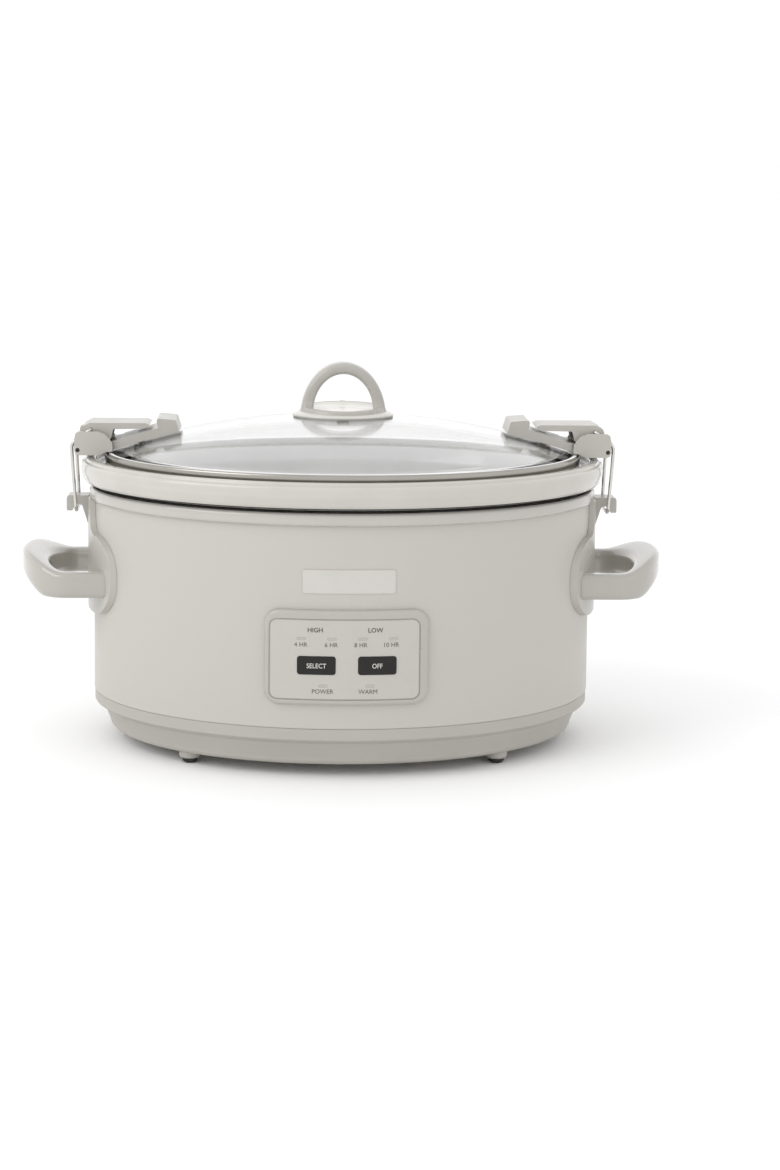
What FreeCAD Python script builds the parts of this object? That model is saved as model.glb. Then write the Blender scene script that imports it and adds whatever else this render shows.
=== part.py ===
"""A large oval slow cooker: heating base, stoneware crock, glass lid and two over-centre latches.

Frame: +Z up, millimetres, origin on the table under the middle of the cooker. The front, with the
controls, faces -Y and the two carrying handles point along +X and -X. Every oval in the cooker is an
ellipse named by its half length along X. Its half depth along Y is smaller by "oval_difference", so
that nested ovals keep an even gap all the way round.
"""

import FreeCAD
import Part
import math
import os
import re

import Sketcher
from FreeCAD import Rotation, Vector

# Driving dimensions: alias, value in millimetres or degrees, meaning.
SIZES = [
    ("oval_difference", 42, "half length minus half depth of every oval"),
    ("fit_gap", 0.05, "clearance between pieces that lie on each other"),
    ("through", 900, "length of a cut that goes right through"),
    # Heating base
    ("foot_bottom", 0, "table"),
    ("foot_top", 3.5, "top of a rubber foot"),
    ("foot_radius", 5.2, "rubber foot"),
    ("foot_x", 104.5, "foot from the middle, along X"),
    ("foot_y", 80, "foot from the middle, along Y"),
    ("boss_radius", 7.5, "plastic boss over a foot"),
    ("tray_bottom", 8.4, "underside of the base tray"),
    ("tray_bottom_half_length", 162.5, "base tray at its underside"),
    ("tray_waist", 24.5, "height where the tray steps out"),
    ("tray_waist_half_length", 168.6, "base tray under its step"),
    ("tray_step", 28.5, "lower edge of the tray's upright band"),
    ("tray_half_length", 174.7, "base tray at its band"),
    ("tray_wall", 2.6, "tray wall"),
    ("shell_bottom", 35.7, "lower edge of the steel shell"),
    ("shell_half_length", 175.2, "outside of the steel shell"),
    ("shell_wall", 0.8, "steel sheet"),
    ("shell_flange_half_length", 152, "inner edge of the shell's bottom flange"),
    ("shell_top", 176, "upper edge of the steel shell"),
    ("ring_bottom", 171.3, "lower edge of the trim ring"),
    ("ring_top", 180, "top of the trim ring"),
    ("ring_half_length", 178.5, "outside of the trim ring"),
    ("ring_inner_half_length", 165.2, "opening of the trim ring"),
    ("well_bottom", 54, "underside of the heating well"),
    ("well_half_length", 164, "outside of the heating well"),
    ("well_wall", 0.8, "well sheet"),
    ("well_flange_half_length", 173, "edge of the well's top flange"),
    ("heater_bottom", 62, "lower edge of the band heater"),
    ("heater_height", 42, "band heater"),
    ("shield_height", 46, "underside of the heat shield"),
    ("post_x", 134, "housing screw from the middle, along X"),
    ("post_y", 57, "housing screw from the middle, along Y"),
    ("post_radius", 4.5, "post round a housing screw"),
    ("board_height", 20, "underside of the power board"),
    ("stud_radius", 3, "stud that holds the well to the tray"),
    ("gland_height", 18, "middle of the cord gland"),
    ("gland_radius", 4.8, "cord gland in the tray wall"),
    # Crock
    ("crock_bottom", 56.5, "underside of the crock"),
    ("crock_rim_bottom", 180.8, "underside of the crock's rim, on the well flange"),
    ("crock_top", 200, "crest of the crock's rim"),
    ("crock_half_length", 184, "outside of the crock's rim"),
    ("crock_ledge", 195, "ledge that the lid rests on"),
    ("crock_ledge_half_length", 173, "upright face round the ledge"),
    ("crock_wall_top_half_length", 160, "crock wall just under the rim"),
    ("crock_wall_bottom_half_length", 154, "crock wall at its bottom"),
    ("cavity_bottom", 64.5, "inside bottom of the crock"),
    ("cavity_bottom_half_length", 146, "crock cavity at its bottom"),
    ("cavity_neck", 183, "height where the cavity starts to flare"),
    ("cavity_neck_half_length", 152, "crock cavity under its flare"),
    ("cavity_top_half_length", 159.5, "crock cavity at the ledge"),
    # Lid
    ("gasket_height", 1.2, "silicone seal under the lid rim"),
    ("rim_half_length", 167.8, "steel rim of the lid"),
    ("rim_top", 203.7, "top of the steel rim"),
    ("rim_wall", 0.7, "steel of the lid rim"),
    ("rim_lip_half_length", 163.2, "inner edge of the rim's upper lip"),
    ("glass_half_length", 166.6, "edge of the glass"),
    ("glass_edge_top", 201.2, "height of the glass at its edge"),
    ("glass_top", 229.5, "highest point of the glass"),
    ("glass_wall", 4, "glass"),
    ("dome_part", 0.6, "edge of the glass as a part of the whole dome's half length"),
    # Lid handle
    ("arch_half_width", 30, "outside of the handle's arch"),
    ("arch_top", 266.4, "top of the arch"),
    ("arch_foot", 228.4, "height where the arch is widest"),
    ("arch_inner_half_width", 21.2, "opening of the arch"),
    ("arch_inner_top", 258.5, "top of the opening"),
    ("arch_inner_foot", 231.5, "height where the opening is widest"),
    ("arch_width", 17, "band of the arch, along Y"),
    ("handle_base_half_length", 35.6, "flange of the lid handle, along X"),
    ("handle_base_half_depth", 30, "flange of the lid handle, along Y"),
    ("handle_base_top", 231.6, "top of the flange"),
    ("handle_cup_top", 235.8, "top of the raised ring"),
    ("handle_cup_half_length", 30, "outside of the raised ring, along X"),
    ("handle_cup_half_depth", 27.6, "outside of the raised ring, along Y"),
    ("handle_cup_wall", 4.5, "raised ring"),
    # Latches
    ("pivot_x", 185.2, "lever pin from the middle"),
    ("pivot_z", 205.9, "height of the lever pin"),
    ("bail_hole_x", 176.6, "bail's end in the lever, from the middle"),
    ("bail_hole_z", 219.7, "height of the bail's end in the lever"),
    ("bar_x", 187, "bail's bar under the catch, from the middle"),
    ("bar_z", 162, "height of the bail's bar"),
    ("wire_radius", 1.2, "bail wire"),
    ("pin_radius", 1.5, "lever pin"),
    ("running_gap", 0.05, "radial clearance of a turning fit"),
    ("cheek_outer", 22.5, "outside of a cheek, along Y"),
    ("cheek_inner", 20, "inside of a cheek, along Y"),
    ("arm_half_width", 18, "latch arm, along Y"),
    ("lever_half_width", 15.5, "lever, along Y"),
    ("lever_side_wall", 3.5, "side wall of the lever"),
    ("lever_top", 224.2, "top of the closed lever"),
    ("lever_tip_x", 135.4, "tip of the closed lever"),
    ("bail_leg_y", 18, "bail leg beside the lever, along Y"),
    ("bar_half_length", 14.5, "bail bar, along Y"),
    ("arm_screw_x", 141.5, "latch arm's screw from the middle"),
    # Handle brackets and handles
    ("bracket_thickness", 4.3, "bracket plate"),
    ("plate_bottom", 94, "lower edge of the bracket's oval plate"),
    ("plate_top", 148.5, "upper edge of the bracket's oval plate"),
    ("plate_half_width", 62, "bracket's oval plate, along Y"),
    ("neck_half_width", 23, "bracket's neck, along Y"),
    ("catch_half_width", 8, "catch, along Y"),
    ("catch_top", 171.8, "top of the catch"),
    ("catch_roof", 165.5, "underside of the catch, over the bail's bar"),
    ("catch_lip_bottom", 161.1, "lower edge of the catch's lip"),
    ("catch_end_x", 194.2, "outer end of the catch"),
    ("lip_thickness", 4.3, "catch's lip"),
    ("handle_end_x", 225.5, "outer end of a carrying handle"),
    ("handle_bend_x", 190, "where a carrying handle starts to bend"),
    ("handle_half_width", 56.5, "carrying handle, along Y"),
    ("handle_arm_width", 12, "arm of a carrying handle"),
    ("handle_grip_depth", 19.5, "grip of a carrying handle, along X"),
    ("handle_bottom", 107.2, "underside of a handle's arms"),
    ("handle_arm_top", 125.2, "top of a handle's arms"),
    ("handle_grip_top", 136.8, "top of a handle's grip"),
    ("handle_screw_height", 116.2, "middle of a handle's arm"),
    ("handle_screw_radius", 2, "carrying handle screw"),
    # Control panel
    ("panel_height", 84.3, "middle of the control panel"),
    ("overlay_middle", 83.3, "middle of the printed overlay"),
    ("overlay_shift", -1.4, "middle of the printed overlay, along X"),
    ("bezel_width", 108, "panel bezel, along X"),
    ("bezel_height", 63.4, "panel bezel, along Z"),
    ("bezel_corner", 10, "corner of the bezel"),
    ("bezel_thickness", 3.6, "how far the bezel stands out"),
    ("overlay_width", 99, "printed overlay, along X"),
    ("overlay_height", 53.5, "printed overlay, along Z"),
    ("overlay_corner", 5, "corner of the overlay"),
    ("overlay_depth", 0.6, "overlay"),
    ("button_x", 20, "button from the middle"),
    ("button_z", 79.5, "height of the buttons"),
    ("button_width", 25, "button, along X"),
    ("button_height", 12, "button, along Z"),
    ("button_corner", 1.6, "corner of a button"),
    ("button_gap", 0.2, "clearance round a button"),
    ("window_width", 6, "light window, along X"),
    ("window_height", 1.8, "light window, along Z"),
    ("board_front", 128, "front of the control board, from the middle"),
    ("board_thickness", 1.6, "circuit board"),
    ("badge_height", 134.6, "middle of the blank badge"),
    ("badge_shift", 1.2, "middle of the blank badge, along X"),
    ("badge_width", 61, "blank badge, along X"),
    ("badge_depth", 15.6, "blank badge, along Z"),
    ("badge_thickness", 0.5, "blank badge"),
]

DOCUMENT = FreeCAD.newDocument("SlowCooker")
SHEET = DOCUMENT.addObject("Spreadsheet::Sheet", "Size")
ALIASES = {alias for alias, _, _ in SIZES}
EXPORTED = []


# ---------------------------------------------------------------- sheet and sketches


def fill_sheet():
    for row, (alias, size, meaning) in enumerate(SIZES, start=1):
        SHEET.set(f"A{row}", meaning)
        SHEET.set(f"B{row}", str(size))
        SHEET.setAlias(f"B{row}", alias)
    DOCUMENT.recompute()


def bound(expression):
    """The expression with each alias written as the sheet's cell."""
    def with_sheet(word):
        return f"Size.{word[0]}" if word[0] in ALIASES else word[0]

    return re.sub(r"[a-z_]+", with_sheet, str(expression))


def value(expression):
    """The expression's value now, in millimetres or degrees."""
    return float(SHEET.evalExpression(str(expression)))


def new_body(label):
    body = DOCUMENT.addObject("PartDesign::Body", label)
    body.Label = label
    return body


def add_sketch(body, plane, offset="0"):
    """An empty sketch on one of the body's own planes, moved along the plane's normal.

    The sketch's axes are X and Y on XY_Plane (normal +Z), X and Z on XZ_Plane (normal -Y), and
    Y and Z on YZ_Plane (normal +X).
    """
    sketch = body.newObject("Sketcher::SketchObject", "Sketch")
    origin_plane = next(item for item in body.Origin.OriginFeatures if item.Role == plane)
    sketch.AttachmentSupport = [(origin_plane, "")]
    sketch.MapMode = "FlatFace"
    sketch.setExpression("AttachmentOffset.Base.z", bound(offset))
    return sketch


def dimension(sketch, constraint, expression):
    index = sketch.addConstraint(constraint)
    sketch.setExpression(f"Constraints[{index}]", bound(expression))


def place_point(sketch, geometry, end, across, up):
    """Pin a point at the two distances from the sketch's origin."""
    dimension(sketch, Sketcher.Constraint("DistanceX", -1, 1, geometry, end, value(across)), across)
    dimension(sketch, Sketcher.Constraint("DistanceY", -1, 1, geometry, end, value(up)), up)


def ellipse(sketch, half_across, half_up, across="0", up="0"):
    wide = value(half_across) >= value(half_up)
    centre = Vector(value(across), value(up), 0)
    long_half, short_half = (half_across, half_up) if wide else (half_up, half_across)
    long_way, short_way = (Vector(1, 0, 0), Vector(0, 1, 0)) if wide else (Vector(0, 1, 0), Vector(-1, 0, 0))
    curve = Part.Ellipse(centre + long_way * value(long_half), centre + short_way * value(short_half), centre)
    index = sketch.addGeometry(curve, False)
    sketch.exposeInternalGeometry(index)
    long_axis, short_axis = index + 1, index + 2
    place_point(sketch, index, 3, across, up)
    sketch.addConstraint(Sketcher.Constraint("Horizontal" if wide else "Vertical", long_axis))
    dimension(sketch, Sketcher.Constraint("Distance", long_axis, 2 * value(long_half)), f"2 * ({long_half})")
    dimension(sketch, Sketcher.Constraint("Distance", short_axis, 2 * value(short_half)), f"2 * ({short_half})")


def oval(sketch, half_length):
    """One of the cooker's nested ovals."""
    ellipse(sketch, half_length, f"{half_length} - oval_difference")


def circle(sketch, radius, across="0", up="0"):
    centre = Vector(value(across), value(up), 0)
    index = sketch.addGeometry(Part.Circle(centre, Vector(0, 0, 1), value(radius)), False)
    place_point(sketch, index, 3, across, up)
    dimension(sketch, Sketcher.Constraint("Radius", index, value(radius)), radius)


def outline(sketch, corners):
    """A closed outline of straight lines through the corners, given as pairs of expressions."""
    points = [Vector(value(across), value(up), 0) for across, up in corners]
    following = points[1:] + points[:1]
    lines = [sketch.addGeometry(Part.LineSegment(a, b), False) for a, b in zip(points, following)]
    for line, next_line, (across, up) in zip(lines, lines[1:] + lines[:1], corners):
        sketch.addConstraint(Sketcher.Constraint("Coincident", line, 2, next_line, 1))
        place_point(sketch, line, 1, across, up)


def rectangle(sketch, left, right, low, high):
    outline(sketch, [(left, low), (right, low), (right, high), (left, high)])


def centred_rectangle(sketch, width, height, across="0", up="0"):
    half_width = f"({width}) / 2"
    half_height = f"({height}) / 2"
    rectangle(
        sketch,
        f"{across} - {half_width}",
        f"{across} + {half_width}",
        f"{up} - {half_height}",
        f"{up} + {half_height}",
    )


# ---------------------------------------------------------------- features


def pad(body, sketch, length, both=False, back=False):
    feature = body.newObject("PartDesign::Pad", "Pad")
    feature.Profile = sketch
    feature.SideType = "Symmetric" if both else "One side"
    feature.Reversed = back
    feature.setExpression("Length", bound(length))
    DOCUMENT.recompute()
    return feature


def cut(body, sketch, length="through", both=False, back=False):
    """A pocket. It goes against the sketch's normal, or along it with back, and must remove something."""
    before = body.Shape.Volume
    feature = body.newObject("PartDesign::Pocket", "Pocket")
    feature.Profile = sketch
    feature.SideType = "Symmetric" if both else "One side"
    feature.Reversed = back
    feature.setExpression("Length", bound(length))
    DOCUMENT.recompute()
    if not body.Shape.Volume < before - 1e-6:
        raise RuntimeError(f"{body.Label}: a pocket removes nothing")
    return feature


def loft(body, sections, additive=True):
    """Straight walls through ovals, given as pairs of height and half length."""
    sketches = []
    for height, half_length in sections:
        sketch = add_sketch(body, "XY_Plane", height)
        oval(sketch, half_length)
        sketches.append(sketch)
    kind = "PartDesign::AdditiveLoft" if additive else "PartDesign::SubtractiveLoft"
    feature = body.newObject(kind, "Loft")
    feature.Profile = sketches[0]
    feature.Sections = sketches[1:]
    feature.Ruled = True
    DOCUMENT.recompute()
    return feature


def rounded_start(low, half_length, radius, steps=5):
    """Loft sections for a bottom at one height that is rounded up into the wall by a quarter circle."""
    sections = []
    for step in range(steps + 1):
        angle = math.radians(90 * step / steps)
        rise, inset = 1 - math.cos(angle), 1 - math.sin(angle)
        sections.append((f"{low} + {rise:.4f} * {radius}", f"{half_length} - {inset:.4f} * {radius}"))
    return sections


def round_edges(body, radius, chosen):
    """A fillet on every edge of the body that the test picks."""
    base = body.Tip
    names = [f"Edge{number}" for number, edge in enumerate(base.Shape.Edges, start=1) if chosen(edge)]
    if not names:
        raise RuntimeError(f"{body.Label}: no edge to round")
    feature = body.newObject("PartDesign::Fillet", "Fillet")
    feature.Base = (base, names)
    feature.setExpression("Radius", bound(radius))
    DOCUMENT.recompute()
    return feature


def straight_along(direction):
    """Picks straight edges that run along the direction."""

    def chosen(edge):
        if not isinstance(edge.Curve, Part.Line):
            return False
        return abs(abs(edge.Curve.Direction * direction) - 1) < 1e-6

    return chosen


def sample_points(edge, count=5):
    first, last = edge.ParameterRange
    return [edge.valueAt(first + (last - first) * step / (count - 1)) for step in range(count)]


def on_oval(half_length, height=None):
    """Picks edges that lie on the upright wall of an oval, at one height if it is given."""
    half = value(half_length)
    depth = half - value("oval_difference")

    def chosen(edge):
        for point in sample_points(edge):
            if abs(math.hypot(point.x / half, point.y / depth) - 1) * depth > 0.02:
                return False
            if height is not None and abs(point.z - value(height)) > 0.02:
                return False
        return True

    return chosen


def keep_wall_section(body, inner, outer):
    """Trim the body to the part between two ovals, so that it follows the cooker's wall."""
    inside = add_sketch(body, "XY_Plane")
    oval(inside, inner)
    cut(body, inside, both=True)
    outside = add_sketch(body, "XY_Plane")
    centred_rectangle(outside, "through", "through")
    oval(outside, outer)
    cut(body, outside, both=True)


def upright_oval(body, half_length, low, high):
    """Add an upright oval block between two heights."""
    sketch = add_sketch(body, "XY_Plane", low)
    oval(sketch, half_length)
    return pad(body, sketch, f"{high} - ({low})")


def cut_oval(body, half_length, low, high):
    """Take an upright oval block out of the body between two heights."""
    sketch = add_sketch(body, "XY_Plane", low)
    oval(sketch, half_length)
    return cut(body, sketch, f"{high} - ({low})", back=True)


# ---------------------------------------------------------------- primitives and finished parts


def place(thing, across, deep, up):
    thing.setExpression("Placement.Base.x", bound(across))
    thing.setExpression("Placement.Base.y", bound(deep))
    thing.setExpression("Placement.Base.z", bound(up))


TURNS = {
    "X": Rotation(Vector(0, 1, 0), 90),
    "Y": Rotation(Vector(1, 0, 0), -90),
    "Z": Rotation(),
}


def cylinder(radius, length, start, axis="Z"):
    """A cylinder from its start point along +X, +Y or +Z."""
    thing = DOCUMENT.addObject("Part::Cylinder", "Cylinder")
    thing.Placement.Rotation = TURNS[axis]
    thing.setExpression("Radius", bound(radius))
    thing.setExpression("Height", bound(length))
    place(thing, *start)
    return thing


def block(corner, size):
    """A box from its lowest corner."""
    thing = DOCUMENT.addObject("Part::Box", "Box")
    for name, expression in zip(("Length", "Width", "Height"), size):
        thing.setExpression(name, bound(expression))
    place(thing, *corner)
    return thing


def join(kind, things):
    group = DOCUMENT.addObject(kind, "Group")
    if kind == "Part::Compound":
        group.Links = things
    else:
        group.Shapes = things
    DOCUMENT.recompute()
    return group


def take_away(base, tool):
    result = DOCUMENT.addObject("Part::Cut", "Cut")
    result.Base = base
    result.Tool = tool
    DOCUMENT.recompute()
    return result


def mirrored(source):
    """The same piece on the cooker's -X side."""
    result = DOCUMENT.addObject("Part::Mirroring", "Mirrored")
    result.Source = source
    result.Normal = Vector(1, 0, 0)
    DOCUMENT.recompute()
    return result


def export_as(thing, label):
    thing.Label = label
    EXPORTED.append(thing)


def export_pair(thing, label):
    """Export a piece of the +X side and its mirror image."""
    if thing.Label != f"{label}_right":
        thing.Label = f"{label}_right"
    EXPORTED.append(thing)
    export_as(mirrored(thing), f"{label}_left")


# ---------------------------------------------------------------- heating base


def corner_circles(sketch, radius, across, deep):
    """Four equal circles, one in each quarter."""
    for side in (1, -1):
        for end in (1, -1):
            circle(sketch, radius, f"{side} * {across}", f"{end} * {deep}")


def make_base_tray():
    body = new_body("base_tray")
    loft(body, rounded_start("tray_bottom", "tray_bottom_half_length + 1.5", "5") + [
        ("tray_waist", "tray_waist_half_length"),
        ("tray_step - 0.8", "tray_half_length - 0.6"),
        ("tray_step", "tray_half_length"),
        ("shell_bottom", "tray_half_length"),
    ])
    loft(body, [
        ("tray_bottom + tray_wall", "tray_bottom_half_length - tray_wall - 1.5"),
        ("tray_waist", "tray_waist_half_length - tray_wall"),
        ("tray_step + 1", "tray_half_length - tray_wall"),
        ("shell_bottom + 1", "tray_half_length - tray_wall"),
    ], additive=False)
    add_tray_posts(body)
    cut_tray_holes(body)
    export_as(body, "base_tray")


def add_tray_posts(body):
    """Bosses over the feet, posts for the housing screws, standoffs under the power board."""
    bosses = add_sketch(body, "XY_Plane", "foot_top")
    corner_circles(bosses, "boss_radius", "foot_x", "foot_y")
    pad(body, bosses, "tray_bottom + tray_wall - foot_top")
    foot_top = value("foot_top")
    round_edges(body, "2", lambda edge: abs(edge.BoundBox.ZMax - foot_top) < 0.01)
    posts = add_sketch(body, "XY_Plane", "tray_bottom + 1")
    corner_circles(posts, "post_radius", "post_x", "post_y")
    pad(body, posts, "shell_bottom - tray_bottom - 1")
    standoffs = add_sketch(body, "XY_Plane", "tray_bottom + 1")
    for across in (30, 100):
        for deep in (-25, 25):
            circle(standoffs, "3", across, deep)
    pad(body, standoffs, "board_height - tray_bottom - 1")


def cut_tray_holes(body):
    heads = add_sketch(body, "XY_Plane", "tray_bottom")
    corner_circles(heads, "3.6", "post_x", "post_y")
    cut(body, heads, "3.5", back=True)
    shanks = add_sketch(body, "XY_Plane", "tray_bottom")
    corner_circles(shanks, "1.8", "post_x", "post_y")
    circle(shanks, "stud_radius + fit_gap")
    cut(body, shanks, "30", back=True)
    gland = add_sketch(body, "XZ_Plane")
    circle(gland, "gland_radius + fit_gap", "0", "gland_height")
    cut(body, gland, "through")
    vents = add_sketch(body, "XY_Plane", "tray_bottom")
    for number in range(9):
        centred_rectangle(vents, "3", "46", f"{9 * number - 110}", "0")
    cut(body, vents, "10", back=True)


def make_rubber_feet():
    body = new_body("rubber_feet")
    sketch = add_sketch(body, "XY_Plane", "foot_bottom")
    corner_circles(sketch, "foot_radius", "foot_x", "foot_y")
    pad(body, sketch, "foot_top")
    foot_bottom = value("foot_bottom")
    round_edges(body, "2.2", lambda edge: abs(edge.BoundBox.ZMax - foot_bottom) < 0.01)
    export_as(body, "rubber_feet")


def make_outer_shell():
    body = new_body("outer_shell")
    upright_oval(body, "shell_half_length", "shell_bottom", "shell_top")
    round_edges(body, "1.2", on_oval("shell_half_length", "shell_bottom"))
    cut_oval(body, "shell_half_length - shell_wall", "shell_bottom + shell_wall", "shell_top + 1")
    cut_oval(body, "shell_flange_half_length", "shell_bottom - 1", "shell_bottom + 2")
    window = add_sketch(body, "XZ_Plane")
    centred_rectangle(window, "92", "46", "0", "panel_height")
    cut(body, window, "through", back=True)
    handle_holes(body, "handle_screw_radius + fit_gap")
    posts = add_sketch(body, "XY_Plane", "shell_bottom")
    corner_circles(posts, "1.5", "post_x", "post_y")
    cut(body, posts, "2", back=True)
    export_as(body, "outer_shell")


HANDLE_ARMS = ("-1 * (handle_half_width - handle_arm_width / 2)", "handle_half_width - handle_arm_width / 2")


def handle_holes(body, radius):
    """Holes along X for the two screws at each carrying handle."""
    sketch = add_sketch(body, "YZ_Plane")
    for deep in HANDLE_ARMS:
        circle(sketch, radius, deep, "handle_screw_height")
    cut(body, sketch, both=True)


def make_rim_ring():
    body = new_body("rim_ring")
    upright_oval(body, "ring_half_length", "ring_bottom", "ring_top")
    round_edges(body, "3", on_oval("ring_half_length", "ring_top"))
    round_edges(body, "2", on_oval("ring_half_length", "ring_bottom"))
    cut_oval(body, "shell_half_length + fit_gap", "ring_bottom - 1", "shell_top")
    cut_oval(body, "ring_inner_half_length", "ring_bottom", "ring_top + 1")
    export_as(body, "rim_ring")


def make_heating_well():
    body = new_body("heating_well")
    upright_oval(body, "well_half_length", "well_bottom", "ring_top + well_wall")
    upright_oval(body, "well_flange_half_length", "ring_top", "ring_top + well_wall")
    round_edges(body, "8", on_oval("well_half_length", "well_bottom"))
    cut_oval(body, "well_half_length - 9", "well_bottom + well_wall", "well_bottom + 9")
    cut_oval(body, "well_half_length - well_wall", "well_bottom + 8", "ring_top + 2")
    export_as(body, "heating_well")


def make_wall_band(label, gap, thickness, low, high):
    """A band wrapped round the well, open at the front where the controls are."""
    body = new_body(label)
    upright_oval(body, f"well_half_length + {gap} + {thickness}", low, high)
    cut_oval(body, f"well_half_length + {gap}", f"{low} - 1", f"{high} + 1")
    return body


def make_heating_parts():
    heater = make_wall_band("heater_band", "fit_gap", "0.9", "heater_bottom", "heater_bottom + heater_height")
    export_as(heater, "heater_band")
    blanket_top = "heater_bottom + heater_height + 4"
    blanket = make_wall_band("insulation_blanket", "1", "4", "heater_bottom - 3", blanket_top)
    window = add_sketch(blanket, "XZ_Plane")
    centred_rectangle(window, "130", "80", "0", "panel_height")
    cut(blanket, window, "through", back=True)
    export_as(blanket, "insulation_blanket")
    shield = new_body("heat_shield")
    upright_oval(shield, "well_half_length - 8", "shield_height", "shield_height + 0.8")
    hole = add_sketch(shield, "XY_Plane")
    circle(hole, "stud_radius + fit_gap")
    cut(shield, hole, both=True)
    export_as(shield, "heat_shield")
    stud = cylinder("stud_radius", "well_bottom - tray_bottom + 1", ("0", "0", "tray_bottom - 1"))
    export_as(stud, "well_stud")
    nut = new_body("stud_nut")
    hexagon = add_sketch(nut, "XY_Plane", "tray_bottom - 5")
    corners = [(math.cos(math.radians(60 * turn)), math.sin(math.radians(60 * turn))) for turn in range(6)]
    outline(hexagon, [(f"2 * stud_radius * {x:.6f}", f"2 * stud_radius * {y:.6f}") for x, y in corners])
    circle(hexagon, "stud_radius")
    pad(nut, hexagon, "5")
    export_as(nut, "stud_nut")
    export_as(cylinder("8", "5", ("35", "0", "well_bottom - 5")), "temperature_sensor")
    export_as(cylinder("2", "14", ("-45", "20", "well_bottom - 2"), "X"), "thermal_fuse")


def make_power_parts():
    board = block(("24", "-31", "board_height"), ("82", "62", "board_thickness"))
    export_as(board, "power_board")
    above_board = "board_height + board_thickness"
    export_as(block(("32", "-16", above_board), ("20", "15", "15")), "power_relay")
    export_as(block(("62", "-18", above_board), ("30", "26", "18")), "power_transformer")
    flange = cylinder("6.4", "2.4", ("0", "127.2", "gland_height"), "Y")
    sleeve = cylinder("gland_radius", "17", ("0", "116", "gland_height"), "Y")
    bore = cylinder("3", "40", ("0", "110", "gland_height"), "Y")
    gland = take_away(join("Part::MultiFuse", [flange, sleeve]), bore)
    export_as(gland, "cord_gland")
    screws = []
    for side in (1, -1):
        for end in (1, -1):
            across, deep = f"{side} * post_x", f"{end} * post_y"
            head = cylinder("3.4", "2", (across, deep, "tray_bottom + 1.5"))
            shank = cylinder("1.5", "25.6", (across, deep, "tray_bottom + 3.5"))
            screws.append(join("Part::MultiFuse", [head, shank]))
    export_as(join("Part::Compound", screws), "base_screws")


# ---------------------------------------------------------------- controls


def wall_panel(label, width, height, corner, middle, inner, outer, across="0"):
    """A round-cornered plate on the front that follows the wall between two ovals."""
    body = new_body(label)
    sketch = add_sketch(body, "XZ_Plane", "80")
    centred_rectangle(sketch, width, height, across, middle)
    pad(body, sketch, "80")
    round_edges(body, corner, straight_along(Vector(0, 1, 0)))
    keep_wall_section(body, inner, outer)
    return body


LIGHTS = [(-30, 97.2), (-10, 97.2), (10.4, 97.2), (30.6, 97.2), (-15.4, 65.8), (15.3, 65.8)]


def panel_cut(body, width, height, centres):
    """Cut the same rectangular hole through the front at each centre."""
    sketch = add_sketch(body, "XZ_Plane", "60")
    for across, up in centres:
        centred_rectangle(sketch, width, height, across, up)
    cut(body, sketch, "120", back=True)


BUTTONS = [("-1 * button_x", "button_z"), ("button_x", "button_z")]
BUTTON_HOLE = ("button_width + 2 * button_gap", "button_height + 2 * button_gap")


def make_control_bezel():
    body = wall_panel(
        "bezel_blank", "bezel_width", "bezel_height", "bezel_corner", "panel_height",
        "shell_half_length + fit_gap", "shell_half_length + bezel_thickness",
    )
    round_edges(body, "2.4", on_oval("shell_half_length + bezel_thickness"))
    recess = wall_panel(
        "overlay_recess", "overlay_width + 0.6", "overlay_height + 0.6", "overlay_corner + 0.3",
        "overlay_middle",
        "shell_half_length + bezel_thickness - overlay_depth", "shell_half_length + bezel_thickness + 1",
        "overlay_shift",
    )
    panel_cut(body, *BUTTON_HOLE, BUTTONS)
    panel_cut(body, "window_width", "window_height", LIGHTS)
    export_as(take_away(body, recess), "control_bezel")


def make_control_overlay():
    body = wall_panel(
        "control_overlay", "overlay_width", "overlay_height", "overlay_corner", "overlay_middle",
        "shell_half_length + bezel_thickness - overlay_depth + fit_gap",
        "shell_half_length + bezel_thickness - 0.1",
        "overlay_shift",
    )
    panel_cut(body, *BUTTON_HOLE, BUTTONS)
    panel_cut(body, "window_width", "window_height", LIGHTS)
    export_as(body, "control_overlay")


def make_light_windows():
    body = new_body("light_windows")
    sketch = add_sketch(body, "XZ_Plane", "100")
    for across, up in LIGHTS:
        centred_rectangle(sketch, "window_width - 0.1", "window_height - 0.1", across, up)
    pad(body, sketch, "60")
    keep_wall_section(body, "shell_half_length + 0.5", "shell_half_length + bezel_thickness - 0.15")
    export_as(body, "light_windows")
    lights = []
    for across, up in LIGHTS:
        corner = (f"{across} - 1", "-1 * (board_front + 0.8)", f"{up} - 0.5")
        lights.append(block(corner, ("2", "0.8", "1")))
    export_as(join("Part::Compound", lights), "indicator_lights")


def make_buttons():
    body = new_body("off_button")
    sketch = add_sketch(body, "XZ_Plane", "100")
    centred_rectangle(sketch, "button_width", "button_height", "button_x", "button_z")
    pad(body, sketch, "60")
    round_edges(body, "button_corner", straight_along(Vector(0, 1, 0)))
    front = "shell_half_length + bezel_thickness + 0.5"
    keep_wall_section(body, "shell_half_length - 1.4", front)
    round_edges(body, "0.4", on_oval(front))
    stem = add_sketch(body, "XZ_Plane", "board_front + 1.3")
    centred_rectangle(stem, "6", "5", "button_x", "button_z")
    pad(body, stem, "2.9")
    export_as(body, "off_button")
    export_as(mirrored(body), "select_button")


def make_control_electronics():
    board = block(
        ("-42", "-1 * board_front", "panel_height - 21"),
        ("84", "board_thickness", "42"),
    )
    export_as(board, "control_board")
    switches = []
    for side in (-1, 1):
        corner = (f"{side} * button_x - 3", "-1 * (board_front + 0.4)", "button_z - 3")
        switches.append(block(corner, ("6", "0.4", "6")))
    export_as(join("Part::Compound", switches), "button_switches")
    tray = block(("-44", "-1 * (board_front - 1.7)", "panel_height - 23"), ("88", "1.4", "46"))
    export_as(tray, "control_housing")


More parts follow.
